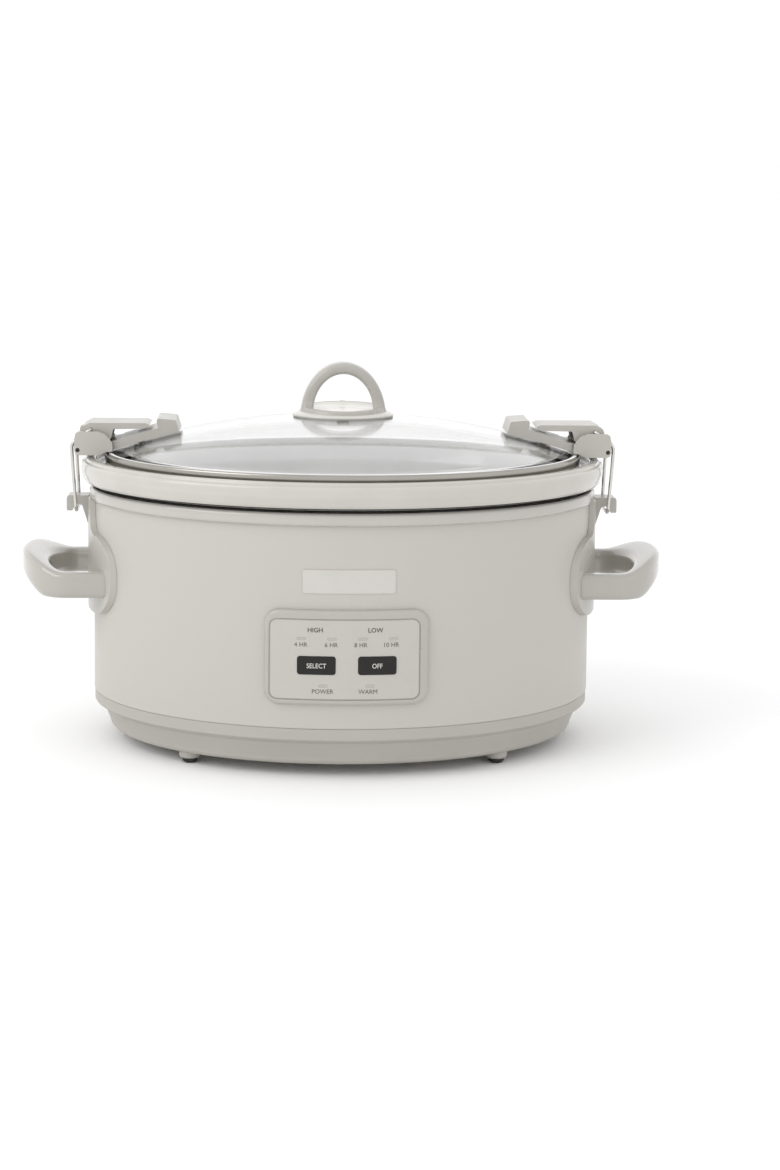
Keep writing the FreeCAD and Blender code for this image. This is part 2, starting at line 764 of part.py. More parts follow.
def make_badge():
    body = wall_panel(
        "blank_badge", "badge_width", "badge_depth", "1.8", "badge_height",
        "shell_half_length + fit_gap", "shell_half_length + badge_thickness", "badge_shift",
    )
    export_as(body, "blank_badge")


# ---------------------------------------------------------------- carrying handles


def make_handle_bracket():
    """The bracket at the +X end: an oval plate round the handle, a neck and the catch for the bail."""
    body = new_body("handle_bracket_right")
    plate = add_sketch(body, "YZ_Plane", "140")
    rectangle(plate, "-1 * plate_half_width", "plate_half_width", "plate_bottom", "plate_top")
    pad(body, plate, "60")
    round_edges(body, "24", straight_along(Vector(1, 0, 0)))
    neck = add_sketch(body, "YZ_Plane", "140")
    neck_top = "ring_bottom - fit_gap"
    rectangle(neck, "-1 * neck_half_width", "neck_half_width", "plate_top - 10", neck_top)
    pad(body, neck, "60")
    half_neck, plate_top = value("neck_half_width"), value("plate_top")

    def inner_corner(edge):
        middle = edge.BoundBox.Center
        return abs(abs(middle.y) - half_neck) < 0.1 and abs(middle.z - plate_top) < 0.1

    round_edges(body, "14", inner_corner)
    outer = "shell_half_length + bracket_thickness"
    keep_wall_section(body, "shell_half_length + fit_gap", outer)
    round_edges(body, "1.2", on_oval(outer))
    add_catch(body)
    handle_holes(body, "handle_screw_radius + fit_gap")
    export_pair(body, "handle_bracket")


def add_catch(body):
    """A hook that opens downwards: the bail's bar sits under its roof, behind its lip."""
    wall = "ring_half_length + 0.3"
    sketch = add_sketch(body, "XZ_Plane")
    outline(sketch, [
        ("shell_half_length + 1", "catch_roof - 13"),
        ("shell_half_length + bracket_thickness", "catch_roof - 13"),
        ("shell_half_length + bracket_thickness + 4", "catch_roof"),
        ("catch_end_x - lip_thickness - 0.5", "catch_roof"),
        ("catch_end_x - lip_thickness", "catch_lip_bottom"),
        ("catch_end_x", "catch_lip_bottom"),
        ("catch_end_x", "catch_top"),
        (wall, "catch_top"),
        (wall, "ring_bottom - 0.3"),
        ("shell_half_length + 1", "ring_bottom - 0.3"),
    ])
    pad(body, sketch, "2 * catch_half_width", both=True)


def make_handle():
    """The glossy carrying handle: a U in plan whose grip sweeps up."""
    body = new_body("handle_right")
    deep = "handle_half_width"
    inner_deep = "handle_half_width - handle_arm_width"
    grip = add_sketch(body, "XY_Plane", "handle_bottom - 5")
    ellipse(grip, "handle_end_x - handle_bend_x", deep, "handle_bend_x", "0")
    pad(body, grip, "40")
    arms = add_sketch(body, "XY_Plane", "handle_bottom - 5")
    rectangle(arms, "140", "handle_bend_x", f"-1 * {deep}", deep)
    pad(body, arms, "40")
    opening = add_sketch(body, "XY_Plane")
    ellipse(opening, "handle_end_x - handle_bend_x - handle_grip_depth", inner_deep, "handle_bend_x", "0")
    cut(body, opening, both=True)
    gap = add_sketch(body, "XY_Plane")
    rectangle(gap, "130", "handle_bend_x", f"-1 * ({inner_deep})", inner_deep)
    cut(body, gap, both=True)
    above = add_sketch(body, "XZ_Plane")
    outline(above, [
        ("130", "handle_arm_top"),
        ("handle_bend_x + 6", "handle_arm_top"),
        ("handle_bend_x + 14", "handle_arm_top + 2.4"),
        ("handle_bend_x + 23", "handle_arm_top + 7"),
        ("handle_bend_x + 30", "handle_grip_top - 1.2"),
        ("handle_bend_x + 34", "handle_grip_top"),
        ("240", "handle_grip_top"),
        ("240", "200"),
        ("130", "200"),
    ])
    cut(body, above, both=True)
    below = add_sketch(body, "XZ_Plane")
    outline(below, [
        ("130", "handle_bottom"),
        ("handle_bend_x + 12", "handle_bottom"),
        ("handle_bend_x + 22", "handle_bottom + 1.6"),
        ("handle_bend_x + 30", "handle_bottom + 5"),
        ("handle_bend_x + 36", "handle_bottom + 11"),
        ("240", "handle_bottom + 12"),
        ("240", "60"),
        ("130", "60"),
    ])
    cut(body, below, both=True)
    ends = add_sketch(body, "XY_Plane")
    oval(ends, "shell_half_length + bracket_thickness + fit_gap")
    cut(body, ends, both=True)
    screw_holes = add_sketch(body, "YZ_Plane", "140")
    for arm in HANDLE_ARMS:
        circle(screw_holes, "handle_screw_radius", arm, "handle_screw_height")
    cut(body, screw_holes, "42", back=True)
    export_pair(body, "handle")


def make_handle_screws():
    screws = []
    for side in (1, -1):
        start = "154" if side == 1 else "-156.4"
        shank = "156.4" if side == 1 else "-181"
        for arm in HANDLE_ARMS:
            head = cylinder("3.6", "2.4", (start, arm, "handle_screw_height"), "X")
            thread = cylinder("handle_screw_radius", "24.6", (shank, arm, "handle_screw_height"), "X")
            screws.append(join("Part::MultiFuse", [head, thread]))
    export_as(join("Part::Compound", screws), "handle_screws")


# ---------------------------------------------------------------- crock


def make_crock():
    body = new_body("crock_blank")
    upright_oval(body, "crock_half_length", "crock_rim_bottom", "crock_top")
    round_edges(body, "8", on_oval("crock_half_length", "crock_rim_bottom"))
    round_edges(body, "5", on_oval("crock_half_length", "crock_top"))
    loft(body, rounded_start("crock_bottom", "crock_wall_bottom_half_length", "14") + [
        ("crock_rim_bottom + 5", "crock_wall_top_half_length"),
    ])
    cut_oval(body, "crock_ledge_half_length", "crock_ledge", "crock_top + 1")
    round_edges(body, "3", on_oval("crock_ledge_half_length", "crock_top"))
    cavity = new_body("crock_cavity")
    loft(cavity, rounded_start("cavity_bottom", "cavity_bottom_half_length", "20", steps=7) + [
        ("cavity_neck", "cavity_neck_half_length"),
        ("crock_ledge + 1", "cavity_top_half_length"),
    ])
    export_as(take_away(body, cavity), "crock")


# ---------------------------------------------------------------- lid


def glass_dome(gap):
    """The whole ellipsoid that the glass is the top of, grown by the gap.

    The glass is cut where the dome's oval is "dome_part" of its widest, so the dome's radii follow
    from the glass's edge and its rise.
    """
    rise = "(glass_top - glass_edge_top)"
    radius_up = f"{rise} / (1 - sqrt(1 - dome_part * dome_part))"
    dome = DOCUMENT.addObject("Part::Ellipsoid", "Dome")
    dome.setExpression("Radius1", bound(f"{radius_up} + {gap}"))
    dome.setExpression("Radius2", bound(f"glass_half_length / dome_part + {gap}"))
    dome.setExpression("Radius3", bound(f"(glass_half_length - oval_difference) / dome_part + {gap}"))
    place(dome, "0", "0", f"glass_top - {radius_up}")
    DOCUMENT.recompute()
    return dome


LID_HOLES = [("0", "2.6"), ("arm_screw_x", "2.1"), ("-1 * arm_screw_x", "2.1")]


def make_lid_glass():
    blank = new_body("glass_blank")
    upright_oval(blank, "glass_half_length", "glass_edge_top - glass_wall - 3", "glass_top + 5")
    holes = add_sketch(blank, "XY_Plane")
    for across, radius in LID_HOLES:
        circle(holes, radius, across, "0")
    cut(blank, holes, both=True)
    hollow = take_away(blank, glass_dome("-1 * glass_wall"))
    glass = DOCUMENT.addObject("Part::Common", "Glass")
    glass.Base = hollow
    glass.Tool = glass_dome("0")
    DOCUMENT.recompute()
    export_as(glass, "lid_glass")


def make_lid_rim():
    body = new_body("lid_rim")
    rim_bottom = "crock_ledge + gasket_height"
    upright_oval(body, "rim_half_length", rim_bottom, "rim_top")
    round_edges(body, "0.8", on_oval("rim_half_length", "rim_top"))
    cut_oval(body, "rim_lip_half_length", f"{rim_bottom} - 1", "rim_top + 1")
    cut_oval(body, "rim_half_length - rim_wall", f"{rim_bottom} + rim_wall", "rim_top - rim_wall")
    export_as(body, "lid_rim")
    gasket = new_body("lid_gasket")
    upright_oval(gasket, "rim_half_length - 0.6", "crock_ledge", rim_bottom)
    cut_oval(gasket, "cavity_top_half_length + 1.2", "crock_ledge - 1", f"{rim_bottom} + 1")
    export_as(gasket, "lid_gasket")


def make_lid_handle():
    body = new_body("lid_handle_blank")
    arch = add_sketch(body, "XZ_Plane")
    ellipse(arch, "arch_half_width", "arch_top - arch_foot", "0", "arch_foot")
    pad(body, arch, "arch_width", both=True)
    opening = add_sketch(body, "XZ_Plane")
    ellipse(opening, "arch_inner_half_width", "arch_inner_top - arch_inner_foot", "0", "arch_inner_foot")
    cut(body, opening, both=True)
    lower = add_sketch(body, "XZ_Plane")
    rectangle(lower, "-60", "60", "150", "arch_foot")
    cut(body, lower, both=True)
    round_edges(body, "3", lambda edge: edge.BoundBox.YLength < 0.01 and edge.BoundBox.ZLength > 5)
    flange = add_sketch(body, "XY_Plane", "glass_top - 5")
    ellipse(flange, "handle_base_half_length", "handle_base_half_depth")
    pad(body, flange, "handle_base_top - glass_top + 5")
    cup = add_sketch(body, "XY_Plane", "handle_base_top - 2")
    ellipse(cup, "handle_cup_half_length", "handle_cup_half_depth")
    ellipse(cup, "handle_cup_half_length - handle_cup_wall", "handle_cup_half_depth - handle_cup_wall")
    pad(body, cup, "handle_cup_top - handle_base_top + 2")
    screw_hole = add_sketch(body, "XY_Plane", "200")
    circle(screw_hole, "2.5")
    cut(body, screw_hole, "30.5", back=True)
    export_as(take_away(body, glass_dome("fit_gap")), "lid_handle")


def make_lid_fasteners():
    """The screw under the glass into the handle, with its washer, and the latch arms' screws."""
    washer_top = "glass_top - glass_wall - 0.6"
    head = cylinder("4.5", "2.5", ("0", "0", f"{washer_top} - 1.2 - 2.5"))
    thread = cylinder("2.45", "6.5", ("0", "0", f"{washer_top} - 1.2"))
    export_as(join("Part::MultiFuse", [head, thread]), "lid_handle_screw")
    ring = cylinder("8", "1.2", ("0", "0", f"{washer_top} - 1.2"))
    bore = cylinder("2.6", "3", ("0", "0", f"{washer_top} - 2"))
    export_as(take_away(ring, bore), "lid_handle_washer")
    screws, nuts = [], []
    for side in (1, -1):
        across = f"{side} * arm_screw_x"
        thread = cylinder("2", "15.6", (across, "0", "199"))
        head = cylinder("2.9", "1.6", (across, "0", "214.4"))
        screws.append(join("Part::MultiFuse", [thread, head]))
        nut = cylinder("5.5", "3", (across, "0", "200.6"))
        nuts.append(take_away(nut, cylinder("2.05", "9", (across, "0", "198"))))
    export_as(join("Part::Compound", screws), "latch_screws")
    export_as(join("Part::Compound", nuts), "latch_nuts")


# ---------------------------------------------------------------- latches


def make_latch_arm():
    """The +X latch arm on the lid: an arm along the glass, a stop at its inner end, two cheeks outside."""
    body = new_body("latch_arm_blank")
    arm = add_sketch(body, "XZ_Plane")
    outline(arm, [
        ("114.6", "218.4"),
        ("140", "211.9"),
        ("163", "204.7"),
        ("176", "204.7"),
        ("176", "205.4"),
        ("163", "211.2"),
        ("144", "216.8"),
        ("129.8", "221.2"),
        ("130.8", "227.8"),
        ("117.2", "226.8"),
    ])
    pad(body, arm, "2 * arm_half_width", both=True)
    round_edges(body, "1.5", lambda edge: edge.BoundBox.ZMin > 224 and edge.BoundBox.YLength > 10)
    boss = add_sketch(body, "XY_Plane", "203")
    circle(boss, "6.5", "arm_screw_x", "0")
    pad(body, boss, "10")
    floor = add_sketch(body, "XZ_Plane")
    outline(floor, [("161", "205.3"), ("163", "204.7"), ("176", "204.7"), ("176", "205.4"), ("161", "211.7")])
    pad(body, floor, "2 * cheek_outer", both=True)
    cheeks = add_sketch(body, "XZ_Plane")
    outline(cheeks, [
        ("161", "205.3"),
        ("165.5", "204.7"),
        ("170", "202.2"),
        ("184.6", "202.2"),
        ("186.8", "203.2"),
        ("187.6", "206"),
        ("187.5", "213.5"),
        ("186.6", "217.6"),
        ("184.6", "218.8"),
        ("171", "218.8"),
        ("166.5", "217.1"),
        ("163.5", "214.2"),
        ("161", "209.5"),
    ])
    pad(body, cheeks, "2 * cheek_outer", both=True)
    slot = add_sketch(body, "XZ_Plane")
    outline(slot, [
        ("176", "195"),
        ("200", "195"),
        ("200", "230"),
        ("155", "230"),
        ("155", "212.95"),
        ("163", "211.2"),
        ("176", "205.4"),
    ])
    cut(body, slot, "2 * cheek_inner", both=True)
    pin_hole = add_sketch(body, "XZ_Plane")
    circle(pin_hole, "pin_radius + 0.02", "pivot_x", "pivot_z")
    cut(body, pin_hole, both=True)
    bolt = add_sketch(body, "XY_Plane", "190")
    circle(bolt, "2.05", "arm_screw_x", "0")
    cut(body, bolt, "60", back=True)
    recess = add_sketch(body, "XY_Plane", "214.4")
    circle(recess, "3.1", "arm_screw_x", "0")
    cut(body, recess, "20", back=True)
    export_pair(take_away(body, glass_dome("0.3")), "latch_arm")


def make_latch_lever():
    """The +X lever, closed: a channel over the arm that turns on a pin between the cheeks."""
    body = new_body("latch_lever_right")
    sketch = add_sketch(body, "XZ_Plane")
    outline(sketch, [
        ("lever_tip_x + 3", "lever_top"),
        ("lever_tip_x", "lever_top - 1.4"),
        ("lever_tip_x + 1", "lever_top - 2.8"),
        ("lever_tip_x + 5.5", "lever_top - 4"),
        ("161", "lever_top - 4.4"),
        ("162.5", "213.2"),
        ("pivot_x - 2.5", "pivot_z - 3.5"),
        ("pivot_x + 1.2", "pivot_z - 3.3"),
        ("pivot_x + 2.9", "pivot_z - 1.5"),
        ("pivot_x + 3", "pivot_z + 3"),
        ("pivot_x - 0.9", "lever_top - 8"),
        ("pivot_x - 2.8", "lever_top - 2.6"),
        ("pivot_x - 7.8", "lever_top"),
    ])
    pad(body, sketch, "2 * lever_half_width", both=True)
    hollow = add_sketch(body, "XZ_Plane")
    outline(hollow, [
        ("lever_tip_x + 8", "218"),
        ("lever_tip_x + 11.5", "lever_top - 2.6"),
        ("pivot_x - 9.5", "lever_top - 2.6"),
        ("pivot_x - 5", "lever_top - 5.6"),
        ("pivot_x - 4", "212"),
        ("pivot_x - 7.5", "203.4"),
        ("158", "212.5"),
    ])
    cut(body, hollow, "2 * (lever_half_width - lever_side_wall)", both=True)
    pin_hole = add_sketch(body, "XZ_Plane")
    circle(pin_hole, "pin_radius + running_gap", "pivot_x", "pivot_z")
    circle(pin_hole, "wire_radius + running_gap", "bail_hole_x", "bail_hole_z")
    cut(body, pin_hole, both=True)
    export_pair(body, "latch_lever")
    pin = cylinder("pin_radius", "2 * cheek_outer - 1.4", ("pivot_x", "0.7 - cheek_outer", "pivot_z"), "Y")
    export_pair(pin, "lever_pin")


def rounded_path(points, radii):
    """Straight runs through the points, joined by tangent arcs at the points between."""
    edges = []
    start = points[0]
    for before, corner, after, radius in zip(points, points[1:], points[2:], radii):
        back = (before - corner).normalize()
        ahead = (after - corner).normalize()
        half_angle = back.getAngle(ahead) / 2
        reach = radius / math.tan(half_angle)
        first = corner + back * reach
        last = corner + ahead * reach
        inward = (back + ahead).normalize()
        middle = corner + inward * (radius / math.sin(half_angle) - radius)
        edges.append(Part.LineSegment(start, first).toShape())
        edges.append(Part.Arc(first, middle, last).toShape())
        start = last
    edges.append(Part.LineSegment(start, points[-1]).toShape())
    return Part.Wire(edges)


def wire_solid(path, radius):
    """A round wire along a path, checked against its section times its length."""
    start = path.Edges[0].Vertexes[0].Point
    direction = path.Edges[0].tangentAt(path.Edges[0].FirstParameter)
    section = Part.Wire(Part.Circle(start, direction, radius).toShape())
    solid = Part.Solid(path.makePipeShell([section], True, False).Shells[0])
    expected = math.pi * radius * radius * path.Length
    if abs(solid.Volume / expected - 1) > 0.01:
        raise RuntimeError("a wire's volume isn't its section times its length")
    return solid


def make_bail():
    """The +X bail: one bent wire, from the lever's far side wall, under the catch, to its near one."""
    hole_x, hole_z = value("bail_hole_x"), value("bail_hole_z")
    pivot_x, pivot_z = value("pivot_x"), value("pivot_z")
    leg = value("bail_leg_y")
    hook_end = value("lever_half_width - lever_side_wall + 0.6")
    one_side = [
        Vector(hole_x, hook_end, hole_z),
        Vector(hole_x, leg, hole_z),
        Vector(pivot_x + 1.6, leg, pivot_z + 7),
        Vector(pivot_x + 4.6, leg, pivot_z + 3),
        Vector(pivot_x + 4, leg, pivot_z - 7),
        Vector(value("bar_x"), value("bar_half_length"), value("bar_z")),
    ]
    other_side = [Vector(point.x, -point.y, point.z) for point in reversed(one_side)]
    radii = [2.4, 5, 7, 12, 4.5]
    path = rounded_path(one_side + other_side, radii + radii[::-1])
    bail = DOCUMENT.addObject("Part::Feature", "Bail")
    bail.Shape = wire_solid(path, value("wire_radius"))
    export_pair(bail, "bail")


# ---------------------------------------------------------------- check and write


def check_document():
    DOCUMENT.recompute()
    for thing in DOCUMENT.Objects:
        if "Invalid" in thing.State or "Error" in thing.State:
            raise RuntimeError(f"{thing.Label}: {thing.State}")
    for thing in EXPORTED:
        if thing.Shape.isNull() or not thing.Shape.isValid() or not thing.Shape.Solids:
            raise RuntimeError(f"{thing.Label}: no valid solid")


def write_parts():
    os.makedirs("parts", exist_ok=True)
    for thing in EXPORTED:
        thing.Shape.exportStep(f"parts/{thing.Label}.step")


def main():
    fill_sheet()
    make_base_tray()
    make_rubber_feet()
    make_outer_shell()
    make_rim_ring()
    make_heating_well()
    make_heating_parts()
    make_power_parts()
    make_control_bezel()
    make_control_overlay()
    make_light_windows()
    make_buttons()
    make_control_electronics()
    make_badge()
    make_handle_bracket()
    make_handle()
    make_handle_screws()
    make_crock()
    make_lid_glass()
    make_lid_rim()
    make_lid_handle()
    make_lid_fasteners()
    make_latch_arm()
    make_latch_lever()
    make_bail()
    check_document()
    write_parts()
    print(f"{len(EXPORTED)} parts")


main()
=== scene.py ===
"""Looks of the large oval slow cooker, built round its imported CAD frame.

Lengths in this file are millimetres until a mesh is made, in the CAD's own frame: +Z up, the controls
on the -Y side, the carrying handles at +X and -X. Every oval is an ellipse given by its half length
along X and its half depth along Y.
"""

import math

import bmesh
import bpy
from mathutils import Matrix, Vector


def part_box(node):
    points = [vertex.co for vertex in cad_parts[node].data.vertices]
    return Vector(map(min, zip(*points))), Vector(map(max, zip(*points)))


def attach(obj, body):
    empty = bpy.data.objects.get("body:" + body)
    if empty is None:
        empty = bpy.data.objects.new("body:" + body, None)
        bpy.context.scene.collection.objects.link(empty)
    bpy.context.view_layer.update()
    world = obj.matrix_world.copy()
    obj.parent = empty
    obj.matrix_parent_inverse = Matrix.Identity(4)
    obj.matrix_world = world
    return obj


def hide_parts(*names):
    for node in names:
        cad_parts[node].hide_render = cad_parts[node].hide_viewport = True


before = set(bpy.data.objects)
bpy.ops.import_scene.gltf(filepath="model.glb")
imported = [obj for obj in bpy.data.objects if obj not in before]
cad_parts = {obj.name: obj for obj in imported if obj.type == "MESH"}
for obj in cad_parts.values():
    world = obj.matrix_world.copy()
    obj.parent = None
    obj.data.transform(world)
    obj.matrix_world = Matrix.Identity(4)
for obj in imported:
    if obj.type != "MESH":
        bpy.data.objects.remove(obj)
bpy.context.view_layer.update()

MM = 0.001
AROUND = 240  # steps round a large oval


def box_mm(node):
    """The lowest and highest corner of a CAD node, in millimetres."""
    low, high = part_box(node)
    return low / MM, high / MM


# ---------------------------------------------------------------- sizes from the frame

SHELL_LOW, SHELL_HIGH = box_mm("outer_shell")
SHELL_LENGTH, SHELL_DEPTH = SHELL_HIGH.x, SHELL_HIGH.y
OVAL_DIFFERENCE = SHELL_LENGTH - SHELL_DEPTH
RING_LOW, RING_HIGH = box_mm("rim_ring")
CROCK_LOW, CROCK_HIGH = box_mm("crock")
GLASS_HIGH = box_mm("lid_glass")[1]
LID_RIM_LOW, LID_RIM_HIGH = box_mm("lid_rim")
OVERLAY_LOW, OVERLAY_HIGH = box_mm("control_overlay")
HANDLE_LOW, HANDLE_HIGH = box_mm("handle_right")
BRACKET_LOW, BRACKET_HIGH = box_mm("handle_bracket_right")
LID_HANDLE_LOW, LID_HANDLE_HIGH = box_mm("lid_handle")


# ---------------------------------------------------------------- mesh tools


def mesh_object(name, vertices, faces):
    """A piece from vertices in millimetres."""
    mesh = bpy.data.meshes.new(name)
    mesh.from_pydata([Vector(vertex) * MM for vertex in vertices], [], faces)
    piece = bpy.data.objects.new(name, mesh)
    bpy.context.scene.collection.objects.link(piece)
    return piece


def from_bmesh(name, geometry):
    """A piece from a bmesh in millimetres, with its faces turned outwards."""
    bmesh.ops.recalc_face_normals(geometry, faces=geometry.faces)
    bmesh.ops.scale(geometry, vec=(MM, MM, MM), verts=geometry.verts)
    mesh = bpy.data.meshes.new(name)
    geometry.to_mesh(mesh)
    geometry.free()
    piece = bpy.data.objects.new(name, mesh)
    bpy.context.scene.collection.objects.link(piece)
    return piece


def smooth(piece, degrees=35, flat_sides=False):
    """Smooth shading, sharp where faces meet at more than the angle; flat_sides keeps large faces level."""
    piece.data.shade_smooth()
    piece.data.set_sharp_from_angle(angle=math.radians(degrees))
    if flat_sides:
        piece.modifiers.new("level_faces", "WEIGHTED_NORMAL").keep_sharp = True
    return piece


def face_outwards(piece):
    """Turns a closed mesh's faces outwards."""
    geometry = bmesh.new()
    geometry.from_mesh(piece.data)
    bmesh.ops.recalc_face_normals(geometry, faces=geometry.faces)
    geometry.to_mesh(piece.data)
    geometry.free()
    return piece


def joined(name, pieces):
    """One piece from several."""
    geometry = bmesh.new()
    for piece in pieces:
        geometry.from_mesh(piece.data)
        bpy.data.objects.remove(piece)
    mesh = bpy.data.meshes.new(name)
    geometry.to_mesh(mesh)
    geometry.free()
    whole = bpy.data.objects.new(name, mesh)
    bpy.context.scene.collection.objects.link(whole)
    return whole


def mirrored(piece, name):
    """The same piece at the other end of the cooker."""
    mesh = piece.data.copy()
    mesh.transform(Matrix.Scale(-1, 4, (1, 0, 0)))
    mesh.flip_normals()
    copy = bpy.data.objects.new(name, mesh)
    bpy.context.scene.collection.objects.link(copy)
    if piece.modifiers:
        smooth(copy, 50, flat_sides=True)
    return copy


def rounded(corners, closed=True, steps=5):
    """Points of an outline whose corners, each (across, up, radius), are rounded."""
    points = []
    for number, (across, up, radius) in enumerate(corners):
        corner = Vector((across, up))
        open_end = not closed and number in (0, len(corners) - 1)
        if radius == 0 or open_end:
            points.append(corner)
            continue
        back = (Vector(corners[number - 1][:2]) - corner).normalized()
        ahead = (Vector(corners[(number + 1) % len(corners)][:2]) - corner).normalized()
        half_angle = back.angle(ahead) / 2
        reach = radius / math.tan(half_angle)
        centre = corner + (back + ahead).normalized() * (radius / math.sin(half_angle))
        start = corner + back * reach - centre
        end = corner + ahead * reach - centre
        first = math.atan2(start.y, start.x)
        turn = math.remainder(math.atan2(end.y, end.x) - first, math.tau)
        for step in range(steps + 1):
            angle = first + turn * step / steps
            points.append(centre + radius * Vector((math.cos(angle), math.sin(angle))))
    return points


def nested(profile):
    """Rings of nested ovals from points of a profile, each (half length, height)."""
    return [(across, across - OVAL_DIFFERENCE, up) for across, up in profile]


def sweep(name, rings, closed=True):
    """A surface through rings, each (half length, half depth, height). A ring of no size is a point."""
    vertices, starts = [], []
    for half_length, half_depth, up in rings:
        starts.append(len(vertices))
        if half_length == 0:
            vertices.append((0, 0, up))
            continue
        for step in range(AROUND):
            angle = math.tau * step / AROUND
            vertices.append((half_length * math.cos(angle), half_depth * math.sin(angle), up))
    pairs = list(zip(range(len(rings)), range(1, len(rings))))
    if closed:
        pairs.append((len(rings) - 1, 0))
    faces = []
    for low, high in pairs:
        for step in range(AROUND):
            following = (step + 1) % AROUND
            corners = []
            for ring, order in ((low, (step, following)), (high, (following, step))):
                if rings[ring][0] == 0:
                    corners.append(starts[ring])
                else:
                    corners.extend(starts[ring] + place for place in order)
            if len(corners) > 2:
                faces.append(corners)
    return smooth(face_outwards(mesh_object(name, vertices, faces)))


def loft(name, sections):
    """A skin over sections of equally many points, with its two ends capped."""
    count = len(sections[0])
    vertices = [point for section in sections for point in section]
    faces = []
    for number in range(len(sections) - 1):
        low = number * count
        high = low + count
        for step in range(count):
            following = (step + 1) % count
            faces.append((low + step, low + following, high + following, high + step))
    faces.append(tuple(reversed(range(count))))
    faces.append(tuple(range(len(vertices) - count, len(vertices))))
    return smooth(face_outwards(mesh_object(name, vertices, faces)))


def filled(outline, holes=()):
    """A flat face with holes, in a new bmesh, across X and up Z."""
    geometry = bmesh.new()
    edges = []
    for loop in (outline, *holes):
        vertices = [geometry.verts.new((point[0], 0, point[1])) for point in loop]
        for first, second in zip(vertices, vertices[1:] + vertices[:1]):
            edges.append(geometry.edges.new((first, second)))
    bmesh.ops.triangle_fill(geometry, edges=edges, use_beauty=True, normal=(0, 1, 0))
    return geometry


def thickened(geometry, low, high):
    """Extrudes a flat bmesh along Y, from low to high, and gives the edges round both of its faces."""
    for vertex in geometry.verts:
        vertex.co.y = low
    made = bmesh.ops.extrude_face_region(geometry, geom=list(geometry.faces), use_keep_orig=True)
    for item in made["geom"]:
        if isinstance(item, bmesh.types.BMVert):
            item.co.y = high
    bmesh.ops.recalc_face_normals(geometry, faces=geometry.faces)
    rims = {low: [], high: []}
    for edge in geometry.edges:
        if len(edge.link_faces) != 2 or abs(edge.verts[0].co.y - edge.verts[1].co.y) > 1e-4:
            continue
        if edge.calc_face_angle(0) > math.radians(60):
            rims[low if abs(edge.verts[0].co.y - low) < 1e-4 else high].append(edge)
    return rims


def bevel(geometry, edges, width, segments=3):
    """Rounds edges of a bmesh."""
    bmesh.ops.bevel(geometry, geom=edges, offset=width, segments=segments, profile=0.5, affect="EDGES",
                    clamp_overlap=True)


def extruded(name, outline, half_width, softness=0.8, low=None):
    """A solid with a side outline, across X and up Z, that runs along Y, its edges rounded."""
    geometry = filled(outline)
    start = -half_width if low is None else low
    rims = thickened(geometry, start, half_width)
    bevel(geometry, rims[start] + rims[half_width], softness)
    return smooth(from_bmesh(name, geometry), 50, flat_sides=True)


def softened(name, node, width, degrees=40):
    """A copy of a CAD node with its sharp edges rounded."""
    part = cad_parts[node]
    geometry = bmesh.new()
    geometry.from_mesh(part.data)
    bmesh.ops.transform(geometry, matrix=part.matrix_world, verts=geometry.verts)
    bmesh.ops.scale(geometry, vec=(1 / MM, 1 / MM, 1 / MM), verts=geometry.verts)
    bmesh.ops.remove_doubles(geometry, verts=geometry.verts, dist=0.004)
    nearly_flat = math.radians(0.6)
    bmesh.ops.dissolve_limit(geometry, angle_limit=nearly_flat, verts=geometry.verts, edges=geometry.edges)
    limit = math.radians(degrees)
    sharp = [edge for edge in geometry.edges if len(edge.link_faces) == 2 and edge.calc_face_angle(0) > limit]
    bevel(geometry, sharp, width)
    return smooth(from_bmesh(name, geometry), 50, flat_sides=True)


def sliced(geometry, step, reach):
    """Cuts a flat bmesh into narrow strips, so that it can bend."""
    position = -reach
    while position <= reach:
        everything = [*geometry.verts, *geometry.edges, *geometry.faces]
        bmesh.ops.bisect_plane(geometry, geom=everything, plane_co=(position, 0, 0), plane_no=(1, 0, 0))
        position += step


def on_front(point):
    """Wraps (across, distance out from the shell, up) round the front of the shell."""
    length, depth = SHELL_LENGTH + point.y, SHELL_DEPTH + point.y
    return Vector((point.x, -depth * math.sqrt(1 - (point.x / length) ** 2), point.z))


def on_end(point):
    """Wraps (across, distance out from the shell, up) round the +X end of the shell."""
    length, depth = SHELL_LENGTH + point.y, SHELL_DEPTH + point.y
    return Vector((length * math.sqrt(1 - (point.x / depth) ** 2), point.x, point.z))


def wall_plate(name, outline, low, high, softness, wrap=on_front, holes=(), step=3):
    """A plate that follows the shell, from low to high above it, with its outer edges rounded."""
    geometry = filled(outline, holes)
    rims = thickened(geometry, low, high)
    if softness:
        bevel(geometry, rims[high], softness)
    sliced(geometry, step, max(abs(point[0]) for point in outline))
    for vertex in geometry.verts:
        vertex.co = wrap(vertex.co)
    return smooth(from_bmesh(name, geometry), 40, flat_sides=True)


def rectangle(width, height, radius, across=0, up=0, steps=6):
    """A round-cornered rectangle."""
    left, right = across - width / 2, across + width / 2
    low, high = up - height / 2, up + height / 2
    corners = [(left, low, radius), (right, low, radius), (right, high, radius), (left, high, radius)]
    return rounded(corners, steps=steps)


def middle(low, high):
    return (low + high) / 2


def ease(value, start, end):
    """0 before start, 1 after end, smooth between."""
    part = min(max((value - start) / (end - start), 0), 1)
    return part * part * (3 - 2 * part)


# ---------------------------------------------------------------- materials


def new_material(name, color, roughness, metallic=0.0):
    """A material with its node tree and its shader."""
    material = bpy.data.materials.new(name)
    material.use_nodes = True
    tree = material.node_tree
    shader = tree.nodes["Principled BSDF"]
    shader.inputs["Base Color"].default_value = (*color, 1)
    shader.inputs["Roughness"].default_value = roughness
    shader.inputs["Metallic"].default_value = metallic
    return material, tree, shader


